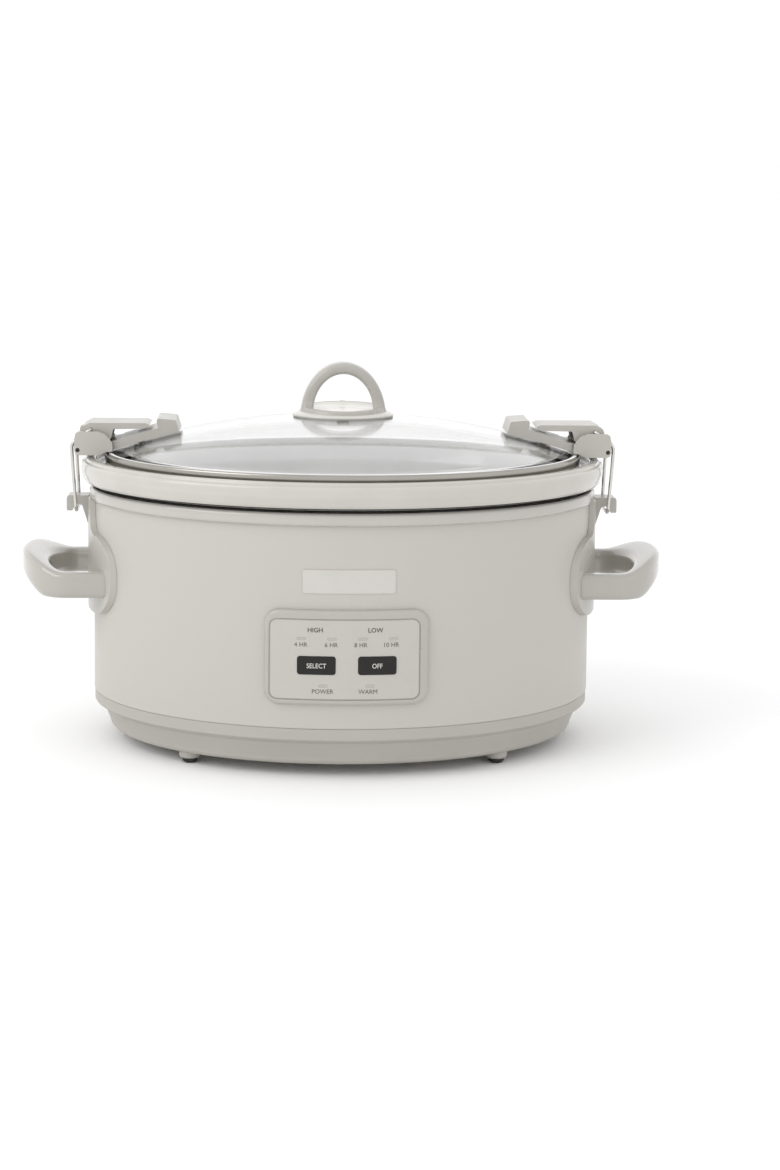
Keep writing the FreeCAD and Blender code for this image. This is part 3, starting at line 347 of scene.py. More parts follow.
def noise(tree, scale, detail=3.0, stretch=(1, 1, 1)):
    """A noise texture over the object's own coordinates; scale is in features per metre."""
    place = tree.nodes.new("ShaderNodeTexCoord")
    mapping = tree.nodes.new("ShaderNodeMapping")
    mapping.inputs["Scale"].default_value = stretch
    texture = tree.nodes.new("ShaderNodeTexNoise")
    texture.inputs["Scale"].default_value = scale
    texture.inputs["Detail"].default_value = detail
    tree.links.new(place.outputs["Object"], mapping.inputs["Vector"])
    tree.links.new(mapping.outputs["Vector"], texture.inputs["Vector"])
    return texture.outputs["Fac"]


def ramp(tree, source, stops):
    """Turns a value into a colour or grey level between stops, each (position, colour)."""
    node = tree.nodes.new("ShaderNodeValToRGB")
    elements = node.color_ramp.elements
    elements[0].position, elements[1].position = stops[0][0], stops[-1][0]
    elements[0].color, elements[1].color = (*stops[0][1], 1), (*stops[-1][1], 1)
    for position, color in stops[1:-1]:
        elements.new(position).color = (*color, 1)
    tree.links.new(source, node.inputs["Fac"])
    return node.outputs["Color"]


def scaled(color, factor):
    return tuple(min(part * factor, 1.0) for part in color)


def mottle(tree, shader, color, amount, scale):
    """Faint light and dark patches in the colour."""
    source = noise(tree, scale)
    stops = [(0.3, scaled(color, 1 - amount)), (0.7, scaled(color, 1 + amount))]
    tree.links.new(ramp(tree, source, stops), shader.inputs["Base Color"])


def uneven_gloss(tree, shader, low, high, scale, stretch=(1, 1, 1)):
    """Roughness that wanders between two values."""
    source = noise(tree, scale, detail=4.0, stretch=stretch)
    stops = [(0.3, (low, low, low)), (0.7, (high, high, high))]
    tree.links.new(ramp(tree, source, stops), shader.inputs["Roughness"])


def relief(tree, shader, source, depth, strength=1.0, under=None):
    """A bump from a value; depth is in millimetres."""
    bump = tree.nodes.new("ShaderNodeBump")
    bump.inputs["Distance"].default_value = depth * MM
    bump.inputs["Strength"].default_value = strength
    tree.links.new(source, bump.inputs["Height"])
    if under is not None:
        tree.links.new(under, bump.inputs["Normal"])
    tree.links.new(bump.outputs["Normal"], shader.inputs["Normal"])
    return bump.outputs["Normal"]


def plastic(name, color, roughness, grain=2200, depth=0.01, coat=0.0, patches=0.02, shine=0.5):
    """Moulded plastic: faint mottling, gloss that varies a little, and a fine grain."""
    material, tree, shader = new_material(name, color, roughness)
    mottle(tree, shader, color, patches, 28)
    uneven_gloss(tree, shader, roughness * 0.88, roughness * 1.15, 60)
    wave = relief(tree, shader, noise(tree, 140, detail=1.0), 0.012)
    relief(tree, shader, noise(tree, grain), depth, under=wave)
    shader.inputs["Specular IOR Level"].default_value = shine
    shader.inputs["Coat Weight"].default_value = coat
    shader.inputs["Coat Roughness"].default_value = 0.08
    return material


def coated_steel():
    """The shell's baked coating: satin, with a shallow orange peel and a fine pearl."""
    color = (0.475, 0.456, 0.417)
    material, tree, shader = new_material("warm_grey_coating", color, 0.42)
    fleck = noise(tree, 5200, detail=1.0)
    stops = [(0.25, scaled(color, 0.955)), (0.55, color), (0.8, scaled(color, 1.06))]
    tree.links.new(ramp(tree, fleck, stops), shader.inputs["Base Color"])
    uneven_gloss(tree, shader, 0.38, 0.47, 40)
    relief(tree, shader, noise(tree, 520, detail=2.0), 0.01)
    shader.inputs["Coat Weight"].default_value = 0.12
    shader.inputs["Coat Roughness"].default_value = 0.3
    return material


def glaze(name, color):
    """Fired glaze: glossy, softly mottled, with slow waves and rare pinholes."""
    material, tree, shader = new_material(name, color, 0.12)
    mottle(tree, shader, color, 0.03, 34)
    uneven_gloss(tree, shader, 0.09, 0.17, 50)
    waves = relief(tree, shader, noise(tree, 60, detail=2.0), 0.05)
    place = tree.nodes.new("ShaderNodeTexCoord")
    cells = tree.nodes.new("ShaderNodeTexVoronoi")
    cells.inputs["Scale"].default_value = 70
    tree.links.new(place.outputs["Object"], cells.inputs["Vector"])
    pits = ramp(tree, cells.outputs["Distance"], [(0.02, (0, 0, 0)), (0.05, (1, 1, 1))])
    relief(tree, shader, pits, 0.05, under=waves)
    shader.inputs["Coat Weight"].default_value = 0.5
    shader.inputs["Coat Roughness"].default_value = 0.04
    return material


def clear_glass():
    """Clear tempered glass with faint waves."""
    material, tree, shader = new_material("clear_glass", (1.0, 1.0, 1.0), 0.0)
    shader.inputs["Transmission Weight"].default_value = 1.0
    shader.inputs["IOR"].default_value = 1.5
    uneven_gloss(tree, shader, 0.0, 0.012, 30)
    relief(tree, shader, noise(tree, 22, detail=1.0), 0.02)
    return material


def metal(name, color, low, high, depth=0.004, scale=900, stretch=(1, 1, 1)):
    """Bare metal whose fine marks spread its reflections."""
    material, tree, shader = new_material(name, color, low, metallic=1.0)
    mottle(tree, shader, color, 0.03, 40)
    uneven_gloss(tree, shader, low, high, scale, stretch)
    relief(tree, shader, noise(tree, scale, stretch=stretch), depth)
    return material


def rubber(name, color):
    """Dull rubber with a fine grain."""
    material, tree, shader = new_material(name, color, 0.75)
    mottle(tree, shader, color, 0.15, 300)
    uneven_gloss(tree, shader, 0.65, 0.85, 400)
    relief(tree, shader, noise(tree, 3000), 0.02)
    return material


def fibre_mat():
    """Pale insulating fibre, its strands lying across."""
    color = (0.78, 0.77, 0.72)
    material, tree, shader = new_material("fibre_mat", color, 0.95)
    strands = noise(tree, 900, detail=6.0, stretch=(1, 1, 0.2))
    stops = [(0.3, scaled(color, 0.75)), (0.7, color)]
    tree.links.new(ramp(tree, strands, stops), shader.inputs["Base Color"])
    relief(tree, shader, strands, 0.4)
    return material


def printed_film():
    """The satin printed film of the control panel."""
    color = (0.462, 0.446, 0.409)
    material, tree, shader = new_material("overlay_film", color, 0.34)
    mottle(tree, shader, color, 0.012, 60)
    uneven_gloss(tree, shader, 0.30, 0.38, 500)
    relief(tree, shader, noise(tree, 2600), 0.006)
    return material


def laminate():
    """Green circuit board with paler copper tracks under its lacquer."""
    material, tree, shader = new_material("board_laminate", (0.03, 0.16, 0.07), 0.35)
    place = tree.nodes.new("ShaderNodeTexCoord")
    bricks = tree.nodes.new("ShaderNodeTexBrick")
    bricks.inputs["Scale"].default_value = 90
    bricks.inputs["Mortar Size"].default_value = 0.03
    bricks.inputs["Color1"].default_value = (0.025, 0.14, 0.06, 1)
    bricks.inputs["Color2"].default_value = (0.035, 0.19, 0.08, 1)
    bricks.inputs["Mortar"].default_value = (0.10, 0.32, 0.14, 1)
    tree.links.new(place.outputs["Object"], bricks.inputs["Vector"])
    tree.links.new(bricks.outputs["Color"], shader.inputs["Base Color"])
    relief(tree, shader, bricks.outputs["Fac"], 0.03)
    return material


WARM_GREY = (0.385, 0.37, 0.335)
BODY_COAT = coated_steel()
BASE_PLASTIC = plastic("base_plastic", (0.395, 0.379, 0.344), 0.46, grain=1800, depth=0.02)
RING_PLASTIC = plastic("ring_plastic", (0.45, 0.433, 0.40), 0.16, coat=0.5)
BRACKET_PLASTIC = plastic("bracket_plastic", (0.43, 0.413, 0.375), 0.30, coat=0.15)
HANDLE_PLASTIC = plastic("handle_plastic", WARM_GREY, 0.14, coat=0.6)
LATCH_PLASTIC = plastic("latch_plastic", (0.43, 0.417, 0.378), 0.32, coat=0.12)
# painted highlight: a pale colour for the cup floor and the tab of the lid handle
CUP_PAINTED_HIGHLIGHT = plastic("cup_painted_highlight", (0.80, 0.785, 0.725), 0.18, coat=0.5)
# painted sheen: a paler colour for the upper face of the lid handle's flange, standing in for the reflection
# on its gloss
FLANGE_PAINTED_SHEEN = plastic("flange_painted_sheen", (0.56, 0.545, 0.505), 0.18, coat=0.5)
# painted light: a near-white colour for the steel rim's inner faces, seen through the glass
RIM_INNER_PAINTED_LIGHT = plastic("rim_inner_painted_light", (0.93, 0.93, 0.92), 0.5)
LID_HANDLE_PLASTIC = plastic("lid_handle_plastic", (0.395, 0.382, 0.348), 0.28, coat=0.2)
BEZEL_PLASTIC = plastic("bezel_plastic", (0.40, 0.386, 0.353), 0.30, coat=0.15)
BUTTON_BLACK = plastic("button_black", (0.007, 0.006, 0.004), 0.34, grain=1500, depth=0.03, shine=0.36)
BADGE_SATIN = metal("badge_satin", (0.58, 0.565, 0.53), 0.38, 0.48, scale=500, stretch=(0.1, 1, 6))
DARK_PLASTIC = plastic("dark_plastic", (0.03, 0.03, 0.032), 0.45)
WINDOW_PLASTIC = plastic("window_plastic", (0.41, 0.395, 0.36), 0.25)
LAMP_PLASTIC = plastic("lamp_plastic", (0.75, 0.34, 0.08), 0.2, coat=0.5)
CROCK_GLAZE = glaze("crock_glaze", (0.50, 0.482, 0.442))
# partly painted light: the cavity's glaze is whiter than the crock's, to stand in for the bright light seen
# through the glass
CAVITY_PAINTED_LIGHT_GLAZE = glaze("cavity_painted_light_glaze", (0.94, 0.935, 0.925))
# painted shade: a near-black colour for the faces in the gap under the crock's rim, where shade falls
PAINTED_GAP_SHADE = plastic("painted_gap_shade", (0.016, 0.015, 0.012), 0.8, grain=900, depth=0.05)
GLASS = clear_glass()
POLISHED_STEEL = metal("polished_steel", (0.37, 0.355, 0.325), 0.14, 0.24, scale=700, stretch=(1, 1, 8))
WIRE_STEEL = metal("wire_steel", (0.60, 0.59, 0.565), 0.16, 0.26)
DARK_STEEL = metal("dark_steel", (0.05, 0.05, 0.05), 0.4, 0.55)
DULL_STEEL = metal("dull_steel", (0.56, 0.56, 0.55), 0.34, 0.48, depth=0.02, scale=400)
ZINC = metal("zinc", (0.62, 0.62, 0.60), 0.25, 0.4, depth=0.01)
RUBBER = rubber("black_rubber", (0.02, 0.02, 0.02))
SEAL = rubber("seal_rubber", (0.74, 0.73, 0.71))
FIBRE = fibre_mat()
MICA = plastic("mica_band", (0.42, 0.36, 0.25), 0.6, grain=700, depth=0.08, patches=0.15)
CERAMIC = plastic("plain_ceramic", (0.78, 0.76, 0.71), 0.6)
FILM = printed_film()
BOARD = laminate()
DARK_INK = plastic("dark_ink", (0.055, 0.053, 0.048), 0.5)
GREY_INK = plastic("grey_ink", (0.085, 0.082, 0.075), 0.5)
LINE_INK = plastic("line_ink", (0.24, 0.232, 0.213), 0.5)
PALE_INK = plastic("pale_ink", (0.62, 0.61, 0.57), 0.5)

NODE_MATERIALS = {
    BODY_COAT: ["outer_shell"],
    BASE_PLASTIC: ["base_tray"],
    RUBBER: ["rubber_feet", "cord_gland"],
    RING_PLASTIC: ["rim_ring"],
    DULL_STEEL: ["heating_well", "heat_shield"],
    MICA: ["heater_band"],
    FIBRE: ["insulation_blanket"],
    ZINC: ["well_stud", "stud_nut", "base_screws", "handle_screws", "lid_handle_screw", "lid_handle_washer",
           "latch_screws", "latch_nuts", "temperature_sensor"],
    CERAMIC: ["thermal_fuse"],
    BOARD: ["power_board", "control_board"],
    DARK_PLASTIC: ["power_relay", "power_transformer", "button_switches", "control_housing"],
    BEZEL_PLASTIC: ["control_bezel"],
    FILM: ["control_overlay"],
    WINDOW_PLASTIC: ["light_windows"],
    LAMP_PLASTIC: ["indicator_lights"],
    BUTTON_BLACK: ["select_button", "off_button"],
    BADGE_SATIN: ["blank_badge"],
    BRACKET_PLASTIC: ["handle_bracket_right", "handle_bracket_left"],
    HANDLE_PLASTIC: ["handle_right", "handle_left"],
    CROCK_GLAZE: ["crock"],
    GLASS: ["lid_glass"],
    POLISHED_STEEL: ["lid_rim"],
    SEAL: ["lid_gasket"],
    LID_HANDLE_PLASTIC: ["lid_handle"],
    LATCH_PLASTIC: ["latch_arm_right", "latch_arm_left", "latch_lever_right", "latch_lever_left"],
    WIRE_STEEL: ["bail_right", "bail_left"],
    DARK_STEEL: ["lever_pin_right", "lever_pin_left"],
}


def paint(piece, material):
    piece.data.materials.clear()
    piece.data.materials.append(material)
    return piece


def paint_nodes():
    """Gives every CAD node its material, those that a piece stands for among them."""
    for material, nodes in NODE_MATERIALS.items():
        for node in nodes:
            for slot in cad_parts[node].material_slots:
                slot.material = material


def add_piece(piece, material, body, slot, *nodes):
    """Finishes a piece: its material, the body it rides on, and the CAD nodes it stands for."""
    paint(piece, material)
    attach(piece, body)
    if nodes:
        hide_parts(*nodes)
    return piece


def add_pair(piece, material, bodies, slot, node=None):
    """A piece at the +X end and its mirror image at the -X end, named from one ending in _right."""
    twin = mirrored(piece, piece.name.replace("_right", "_left"))
    for each, body, side in ((piece, bodies[0], "_right"), (twin, bodies[1], "_left")):
        add_piece(each, material, body, slot, *([node + side] if node else []))


# ---------------------------------------------------------------- swept ovals


def make_shell():
    """The coated shell: a thin wall with a flange turned in at the bottom."""
    wall = 0.8
    flange = 152
    low, high = SHELL_LOW.z, SHELL_HIGH.z
    profile = rounded([
        (flange, low, 0),
        (SHELL_LENGTH, low, 1.2),
        (SHELL_LENGTH, high, 0),
        (SHELL_LENGTH - wall, high, 0),
        (SHELL_LENGTH - wall, low + wall, 0.5),
        (flange, low + wall, 0),
    ])
    add_piece(sweep("shell_skin", nested(profile)), BODY_COAT, "base", "steel_body", "outer_shell")


def make_trim_ring():
    """The glossy ring, with a bead round the well; its level top and the bead, in the gap under the crock's
    rim, are painted near black as painted shade.
    """
    edge, low, high = RING_HIGH.x, RING_LOW.z, RING_HIGH.z
    inner, bead_inside, bead_outside, bead_top = 165.2, 173.15, 173.9, RING_HIGH.z + 0.9
    profile = rounded([
        (SHELL_LENGTH + 0.1, low, 0.4),
        (edge, low, 2.2),
        (edge, high, 3.2),
        (bead_outside, high, 0.1),
        (bead_outside - 0.1, bead_top, 0.25),
        (bead_inside, bead_top, 0.1),
        (bead_inside, high, 0.1),
        (inner, high, 0.6),
        (inner, high - 3, 0.4),
        (SHELL_LENGTH + 0.1, high - 3.6, 0.4),
    ])
    ring = add_piece(sweep("trim_ring", nested(profile)), RING_PLASTIC, "base", "ring_plastic", "rim_ring")
    # painted shade: the ring's level top and its bead, in the gap under the crock's rim, are painted near
    # black
    ring.data.materials.append(PAINTED_GAP_SHADE)
    for face in ring.data.polygons:
        level_top = face.normal.z > 0.98 and face.center.z > (high - 0.1) * MM
        if level_top or face.center.z > (high + 0.05) * MM:
            face.material_index = 1


def make_crock():
    """The stoneware crock: a stepped rim with a seat for the lid, a tapered wall and a rounded cavity.

    Its cavity has a paler glaze, partly painted light that stands in for the bright light seen through the
    glass, and the underside of its rim is painted near black as painted shade.
    """
    rim, top = CROCK_HIGH.x, CROCK_HIGH.z
    bottom = CROCK_LOW.z
    rim_bottom = RING_HIGH.z + 0.8
    seat, gap, floor = 172.5, 1.7, 64.5
    profile = rounded([
        (120, bottom, 0),
        (154, bottom, 14),
        (159.6, rim_bottom, 2),
        (seat, rim_bottom, 0.5),
        (seat + 0.8, rim_bottom + gap, 0.5),
        (rim - 2.4, rim_bottom + gap, 4.6),
        (rim, rim_bottom + 10, 9),
        (rim - 0.4, top - 2.2, 2.4),
        (rim - 3.0, top - 2.0, 0.9),
        (rim - 3.5, top, 1.3),
        (174, top, 2.4),
        (173, 195, 1.2),
        (159.5, 195, 2.5),
        (152, 183, 9),
        (146, floor, 20),
        (110, floor, 0),
    ], closed=False, steps=8)
    rings = [(0, 0, bottom)] + nested(profile) + [(0, 0, floor)]
    crock = sweep("glazed_crock", rings, closed=False)
    add_piece(crock, CROCK_GLAZE, "crock", "crock_glaze", "crock")
    # partly painted light: the cavity's faces get the whiter glaze
    crock.data.materials.append(CAVITY_PAINTED_LIGHT_GLAZE)
    # painted shade: the underside of the crock's rim, over the gap, is painted near black
    crock.data.materials.append(PAINTED_GAP_SHADE)
    under_rim, cavity_top, below_half = 0.18, 0.194, 0.1
    for face in crock.data.polygons:
        if face.normal.z < -0.75 and face.center.z > under_rim:
            face.material_index = 2
        faces_middle = face.normal.x * face.center.x + face.normal.y * face.center.y < 0
        cavity_floor = face.normal.z > 0.8 and face.center.z < below_half
        if face.center.z < cavity_top and (faces_middle or cavity_floor):
            face.material_index = 1


def dome_height(part, top, edge, dome_part=0.6):
    """Height of the dome over a part, 0 to 1, of the way from its middle to its edge."""
    fall = 1 - math.sqrt(1 - (dome_part * part) ** 2)
    whole_fall = 1 - math.sqrt(1 - dome_part ** 2)
    return top - (top - edge) * fall / whole_fall


def glass_over(part):
    """Height of the glass's upper face at a part of the way to its edge."""
    return dome_height(part, GLASS_HIGH.z, 201.2)


def make_glass():
    """The domed glass, thinner towards its edge."""
    length, depth = GLASS_HIGH.x, GLASS_HIGH.y
    wall = 4
    steps = 28
    upper, lower = [], []
    for step in range(steps + 1):
        part = step / steps
        upper.append((length * part, depth * part, glass_over(part)))
        inside = part * (1 - 1.9 / length)
        lower.append((length * inside, depth * inside, glass_over(part) - wall * (1 - 0.06 * part)))
    edge = [(length - 0.1, depth - 0.1, 200.6), (length, depth, 199.6), (length - 0.4, depth - 0.4, 198.2)]
    rings = upper[:-1] + [(length - 0.9, depth - 0.9, 201.0)] + edge + lower[::-1][1:]
    add_piece(sweep("glass_dome", rings, closed=False), GLASS, "lid", "lid_glass_clear", "lid_glass")


def make_lid_rim():
    """The rolled steel rim round the glass; its inner faces, which show through the glass, are painted near
    white as painted light.
    """
    edge, low, high = LID_RIM_HIGH.x, LID_RIM_LOW.z, LID_RIM_HIGH.z
    lip = 163.2
    profile = rounded([
        (lip, low, 0.2),
        (edge - 0.6, low, 1.6),
        (edge, middle(low, high), 6),
        (edge - 0.3, high, 1.6),
        (lip, high - 0.2, 0.3),
    ], steps=6)
    rim = sweep("steel_rim", nested(profile))
    add_piece(rim, POLISHED_STEEL, "lid", "polished_steel", "lid_rim")
    # painted light: the rim's inward faces are painted near white
    rim.data.materials.append(RIM_INNER_PAINTED_LIGHT)
    for face in rim.data.polygons:
        if face.normal.x * face.center.x + face.normal.y * face.center.y < 0:
            face.material_index = 1


# ---------------------------------------------------------------- handles and brackets


def end_surface(across, out):
    """How far along X a surface at a distance out from the shell lies at the cooker's end."""
    return on_end(Vector((across, out, 0))).x


def handle_bottom(along):
    return HANDLE_LOW.z + 12 * ease(along, 205, 230)


def handle_top(along):
    arm_top = 125.2
    return arm_top + (HANDLE_HIGH.z - arm_top) * ease(along, 193, 226)


def make_carrying_handles():
    """A glossy U in plan, its grip wider than its arms and swept up.

    Each station along the U is (part of it, side, position): 0 to 1 along an arm, degrees round the bend.
    """
    bend, arm_out, arm_in = 190, HANDLE_HIGH.y, HANDLE_HIGH.y - 12
    reach_out = HANDLE_HIGH.x - bend
    reach_in = reach_out - 19.5
    bracket_face, edge = 4.4, 4.6
    stations = [("arm", -1, step / 4) for step in range(4)]
    stations += [("bend", 0, -90 + 180 * step / 48) for step in range(49)]
    stations += [("arm", 1, 1 - step / 4) for step in range(1, 5)]
    sections = []
    for kind, side, position in stations:
        widening = math.cos(math.radians(position)) if kind == "bend" else 0
        width = 12 + 7.5 * widening
        height = 17.6 + 1.4 * widening
        section = []
        corners = [(0, 0, edge), (width, 0, edge), (width, height, edge), (0, height, edge)]
        for across, up in rounded(corners, steps=6):
            part = across / width
            deep = arm_in + (arm_out - arm_in) * part
            if kind == "arm":
                deep *= side
                wall = end_surface(deep, bracket_face)
                along = wall + (bend - wall) * position
            else:
                angle = math.radians(position)
                deep *= math.sin(angle)
                along = bend + (reach_in + (reach_out - reach_in) * part) * math.cos(angle)
            low, high = handle_bottom(along), handle_top(along)
            section.append((along, deep, low + (high - low) * up / height))
        sections.append(section)
    handle = loft("carry_handle_right", sections)
    add_pair(handle, HANDLE_PLASTIC, ("base", "base"), "handle_plastic", "handle")


def make_brackets():
    """The oval plate behind each handle, its neck up to the trim ring, and the catch."""
    half, neck = BRACKET_HIGH.y, 23
    low, shoulder, top = BRACKET_LOW.z, 148.5, RING_LOW.z - 0.1
    thickness = 4.3
    plate_outline = rounded([
        (-half, low, 24), (half, low, 24), (half, shoulder, 24), (neck, shoulder, 14),
        (neck, top, 0), (-neck, top, 0), (-neck, shoulder, 14), (-half, shoulder, 24),
    ], steps=10)
    plate = wall_plate("plate", plate_outline, 0.15, thickness, 1.3, wrap=on_end)
    face = SHELL_LENGTH + thickness
    outer, roof, lip = BRACKET_HIGH.x, 165.5, 161.1
    catch_top = 171.8
    catch_outline = rounded([
        (face - 2, roof - 13, 0), (face - 0.1, roof - 13, 0), (face + 4, roof, 2), (outer - 4.9, roof, 1),
        (outer - 4.3, lip, 0.8), (outer, lip, 1), (outer, catch_top, 2), (RING_HIGH.x + 0.3, catch_top, 0.2),
        (RING_HIGH.x + 0.3, RING_LOW.z - 0.3, 0), (face - 2, RING_LOW.z - 0.3, 0),
    ])
    catch = extruded("catch", catch_outline, 8, 0.9)
    bracket = joined("bracket_right", [plate, catch])
    smooth(bracket, 40, flat_sides=True)
    add_pair(bracket, BRACKET_PLASTIC, ("base", "base"), "bracket_plastic", "handle_bracket")


# ---------------------------------------------------------------- lid handle and latches


def make_lid_handle():
    """An arch over a shallow dished foot with a raised lip, which dips towards the front.

    The cup inside the lip and the small tab behind it are painted pale as painted highlight, and the flange's
    upper face round it is painted a little paler than the arch as painted sheen.
    """
    feet = LID_HANDLE_LOW.z
    top = LID_HANDLE_HIGH.z
    foot_edge = [
        (0, 0, 229.7), (35.3, 29.7, 228.3), (35.6, 30, 228.8), (35.6, 30, 229.7),
        (35.2, 29.7, 230.3), (34.5, 29.2, 230.8), (32.4, 28.5, 231.5), (30.9, 27.9, 232.2),
        (30.3, 27.6, 233.0), (29.9, 27.4, 234.3), (29.2, 26.8, 235.2), (28.2, 25.8, 235.6),
        (27.1, 24.7, 235.3), (26.2, 23.8, 234.5), (24.5, 22, 233.8), (12, 10.8, 233.2), (0, 0, 233.1),
    ]
    foot = sweep("foot", foot_edge, closed=False)
    for vertex in foot.data.vertices:
        place = vertex.co / MM
        dip = 1.5 if place.y < 0 else -0.6
        place.z -= dip * (place.y / 28) ** 2 * ease(place.z, 229.5, 234)
        on_glass = glass_over(math.hypot(place.x / GLASS_HIGH.x, place.y / GLASS_HIGH.y)) + 0.03
        vertex.co.z = max(place.z, on_glass) * MM
    steps = 56
    sections = []
    for step in range(steps + 1):
        angle = math.pi * step / steps
        inside = Vector((21.2 * math.cos(angle), 231.5 + 27 * math.sin(angle)))
        outside = Vector((30 * math.cos(angle), 228.4 + (top - 228.4) * math.sin(angle)))
        width = (outside - inside).length
        flare = 1 - ease(math.sin(angle), 0, 0.35)
        half = 8.5 + 2 * flare
        section = []
        corners = [(0, -half, 2.6), (width, -half, 3.4), (width, half, 3.4), (0, half, 2.6)]
        for across, deep in rounded(corners):
            point = inside + (outside - inside) * across / width
            section.append((point.x, deep, max(point.y, feet)))
        sections.append(section)
    arch = loft("arch", sections)
    tab_outline = rounded([(-2.2, 234.6, 0.3), (2.2, 234.6, 0.3), (2.2, 236.6, 0.8), (-2.2, 236.6, 0.8)])
    tab = extruded("tab", tab_outline, 27, 0.4, low=24.8)
    handle = joined("lid_grip", [foot, arch, tab])
    smooth(handle, 40)
    add_piece(handle, LID_HANDLE_PLASTIC, "lid", "lid_handle_plastic", "lid_handle")
    # painted highlight on the cup floor and tab, painted sheen on the flange's upper face
    handle.data.materials.append(CUP_PAINTED_HIGHLIGHT)
    handle.data.materials.append(FLANGE_PAINTED_SHEEN)
    for face in handle.data.polygons:
        middle_part = math.hypot(face.center.x / 0.0276, face.center.y / 0.0252)
        cup_floor = middle_part < 1 and face.normal.z > 0.5 and 0.2312 < face.center.z < 0.2356
        flange_top = math.hypot(face.center.x / 0.0309, face.center.y / 0.0279) > 1 and face.normal.z > 0.5
        tab_face = abs(face.center.x) < 0.0023 and face.center.y > 0.0246 and face.center.z > 0.2345
        if cup_floor or tab_face:
            face.material_index = 1
        elif flange_top and face.center.z < 0.2325:
            face.material_index = 2


def make_latches():
    """Latch arms and levers, their moulded edges rounded."""
    arm = softened("latch_base_right", "latch_arm_right", 0.9)
    add_pair(arm, LATCH_PLASTIC, ("lid", "lid"), "latch_plastic", "latch_arm")
    lever = softened("latch_grip_right", "latch_lever_right", 1.1)
    add_pair(lever, LATCH_PLASTIC, ("lever_right", "lever_left"), "latch_plastic", "latch_lever")


# ---------------------------------------------------------------- control panel


OVERLAY_FACE = 3.5
BUTTON_HOLE = (25.3, 12.3)
BUTTON_HEIGHT = 79.5
BUTTON_FACE = 4.1
LIGHT_WINDOWS = [(-30, 97.2), (-10, 97.2), (10.4, 97.2), (30.6, 97.2), (-15.4, 65.8), (15.3, 65.8)]
LABELS = [
    ("HIGH", -20.9, 103.2, 3.1, "dark"),
    ("LOW", 18.6, 103.2, 3.1, "dark"),
    ("4 HR", -30.3, 93.4, 3.0, "grey"),
    ("6 HR", -10.4, 93.4, 3.0, "grey"),
    ("8 HR", 9.0, 93.4, 3.0, "grey"),
    ("10 HR", 28.9, 93.4, 3.0, "grey"),
    ("POWER", -15.9, 62.3, 3.0, "grey"),
    ("WARM", 14.0, 62.3, 3.0, "grey"),
]


def make_label(text, across, up, height, out, boldness=0.03, narrowing=1):
    """Raised ink: generic capitals on the panel, centred at (across, up)."""
    capital_part = 0.73
    letters = bpy.data.curves.new(text, "FONT")
    letters.body = text
    letters.size = height / capital_part
    letters.align_x = "CENTER"
    letters.extrude = 0.02
    letters.offset = boldness
    letters.resolution_u = 3
    source = bpy.data.objects.new(text, letters)
    geometry = bmesh.new()
    geometry.from_mesh(source.to_mesh())
    source.to_mesh_clear()
    bpy.data.objects.remove(source)
    for vertex in geometry.verts:
        place = Vector((vertex.co.x * narrowing + across, out + vertex.co.z, vertex.co.y + up - height / 2))
        vertex.co = on_front(place)
    return from_bmesh("label_" + text.replace(" ", "_").lower(), geometry)


def make_panel():
    """The bezel with its sunken film, the lettering and a fine dark line round the film."""
    bezel = softened("panel_bezel", "control_bezel", 0.5)
    add_piece(bezel, BEZEL_PLASTIC, "base", "bezel_plastic", "control_bezel")
    inks = {"dark": DARK_INK, "grey": GREY_INK}
    for text, across, up, height, ink in LABELS:
        label = make_label(text, across, up, height, OVERLAY_FACE + 0.08, 0.05 if ink == "dark" else 0)
        add_piece(label, inks[ink], "base", "overlay_film")
    across_middle, centre = middle(OVERLAY_LOW.x, OVERLAY_HIGH.x), middle(OVERLAY_LOW.z, OVERLAY_HIGH.z)
    width, height = OVERLAY_HIGH.x - OVERLAY_LOW.x, OVERLAY_HIGH.z - OVERLAY_LOW.z
    holes = [rectangle(*BUTTON_HOLE, 1.9, across, BUTTON_HEIGHT) for across in (-20, 20)]
    holes += [rectangle(6, 1.8, 0.4, across, up, steps=2) for across, up in LIGHT_WINDOWS]
    film_outline = rectangle(width, height, 5, across_middle, centre)
    film = wall_plate("panel_film", film_outline, 3.05, OVERLAY_FACE, 0.12, holes=holes)
    add_piece(film, FILM, "base", "overlay_film", "control_overlay")
    line_outside = rectangle(width - 0.4, height - 0.4, 4.8, across_middle, centre)
    line_inside = rectangle(width - 1.1, height - 1.1, 4.5, across_middle, centre)
    low, high = OVERLAY_FACE - 0.2, OVERLAY_FACE + 0.06
    line = wall_plate("panel_line", line_outside, low, high, 0, holes=[line_inside])
    add_piece(line, LINE_INK, "base", "overlay_film")
    for text, body, across in (("SELECT", "select_button", -20), ("OFF", "off_button", 20)):
        label = make_label(text, across, BUTTON_HEIGHT, 3.3, BUTTON_FACE + 0.12, 0.015, 0.88)
        add_piece(label, PALE_INK, body, "button_plastic")


# ---------------------------------------------------------------- stage


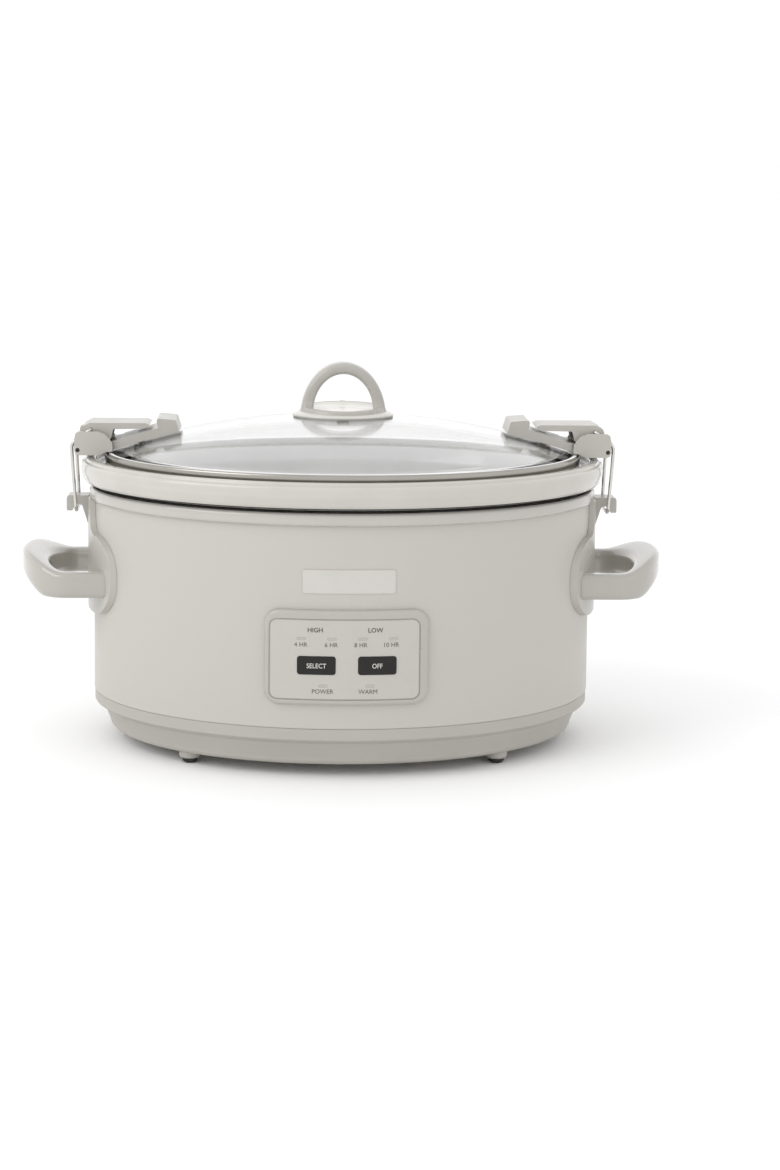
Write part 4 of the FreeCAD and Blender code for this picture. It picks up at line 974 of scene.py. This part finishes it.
def make_stage():
    """A white floor and a bright sky, a little dimmer in a band part way up; the soft light from the upper
    left is added in main.
    """
    side, near, far = 4e4, -2e4, 8e4
    corners = [(-side, near, 0), (side, near, 0), (side, far, 0), (-side, far, 0)]
    floor = mesh_object("floor", corners, [(0, 1, 2, 3)])
    material, tree, shader = new_material("white_floor", (0.93, 0.93, 0.93), 0.9)
    mottle(tree, shader, (0.93, 0.93, 0.93), 0.004, 3)
    shader.inputs["Specular IOR Level"].default_value = 0.1
    paint(floor, material)
    world = bpy.data.worlds.new("studio")
    bpy.context.scene.world = world
    world.use_nodes = True
    tree = world.node_tree
    place = tree.nodes.new("ShaderNodeTexCoord")
    axes = tree.nodes.new("ShaderNodeSeparateXYZ")
    tree.links.new(place.outputs["Generated"], axes.inputs["Vector"])
    sky = ramp(tree, axes.outputs["Z"], [
        (0.0, (1.0, 1.0, 1.0)),
        (0.5, (1.0, 1.0, 1.0)),
        (0.72, (0.88, 0.88, 0.89)),
        (1.0, (0.96, 0.96, 0.97)),
    ])
    background = tree.nodes["Background"]
    tree.links.new(sky, background.inputs["Color"])
    background.inputs["Strength"].default_value = 1.16


def add_softbox(name, size, power, place, aim):
    """A rectangular light, power in watts, that faces a point."""
    light = bpy.data.lights.new(name, "AREA")
    light.shape = "RECTANGLE"
    light.size, light.size_y = size
    light.energy = power
    lamp = bpy.data.objects.new(name, light)
    bpy.context.scene.collection.objects.link(lamp)
    lamp.location = place
    lamp.rotation_euler = (Vector(aim) - Vector(place)).to_track_quat("-Z", "Y").to_euler()


def make_camera():
    """A camera a little above the rim, turned slightly to the right, with its frame shifted down."""
    distance = 1.622
    aim = Vector((0, 0, 0.2432))
    pitch, turn, roll = 0.1069, 0.0292, 0.0089
    ahead = Vector((math.sin(turn) * math.cos(pitch), math.cos(turn) * math.cos(pitch), -math.sin(pitch)))
    level = Vector((math.cos(turn), -math.sin(turn), 0))
    up = level.cross(ahead)
    right = math.cos(roll) * level + math.sin(roll) * up
    camera_up = math.cos(roll) * up - math.sin(roll) * level
    data = bpy.data.cameras.new("camera")
    data.sensor_width = 36
    data.lens = 70.7
    data.shift_x = 0.040
    data.shift_y = -0.1625
    data.clip_end = 200
    camera = bpy.data.objects.new("camera", data)
    bpy.context.scene.collection.objects.link(camera)
    turned = Matrix((right, camera_up, -ahead)).transposed().to_4x4()
    camera.matrix_world = Matrix.Translation(aim - ahead * distance) @ turned
    bpy.context.scene.camera = camera


def main():
    bpy.context.scene.view_settings.view_transform = "Standard"
    make_camera()
    make_stage()
    add_softbox("key_light", (1.6, 1.6), 17, (-1.7, -1.1, 1.7), (0, 0, 0.12))
    paint_nodes()
    make_shell()
    make_trim_ring()
    make_crock()
    make_glass()
    make_lid_rim()
    make_carrying_handles()
    make_brackets()
    make_lid_handle()
    make_latches()
    make_panel()


main()
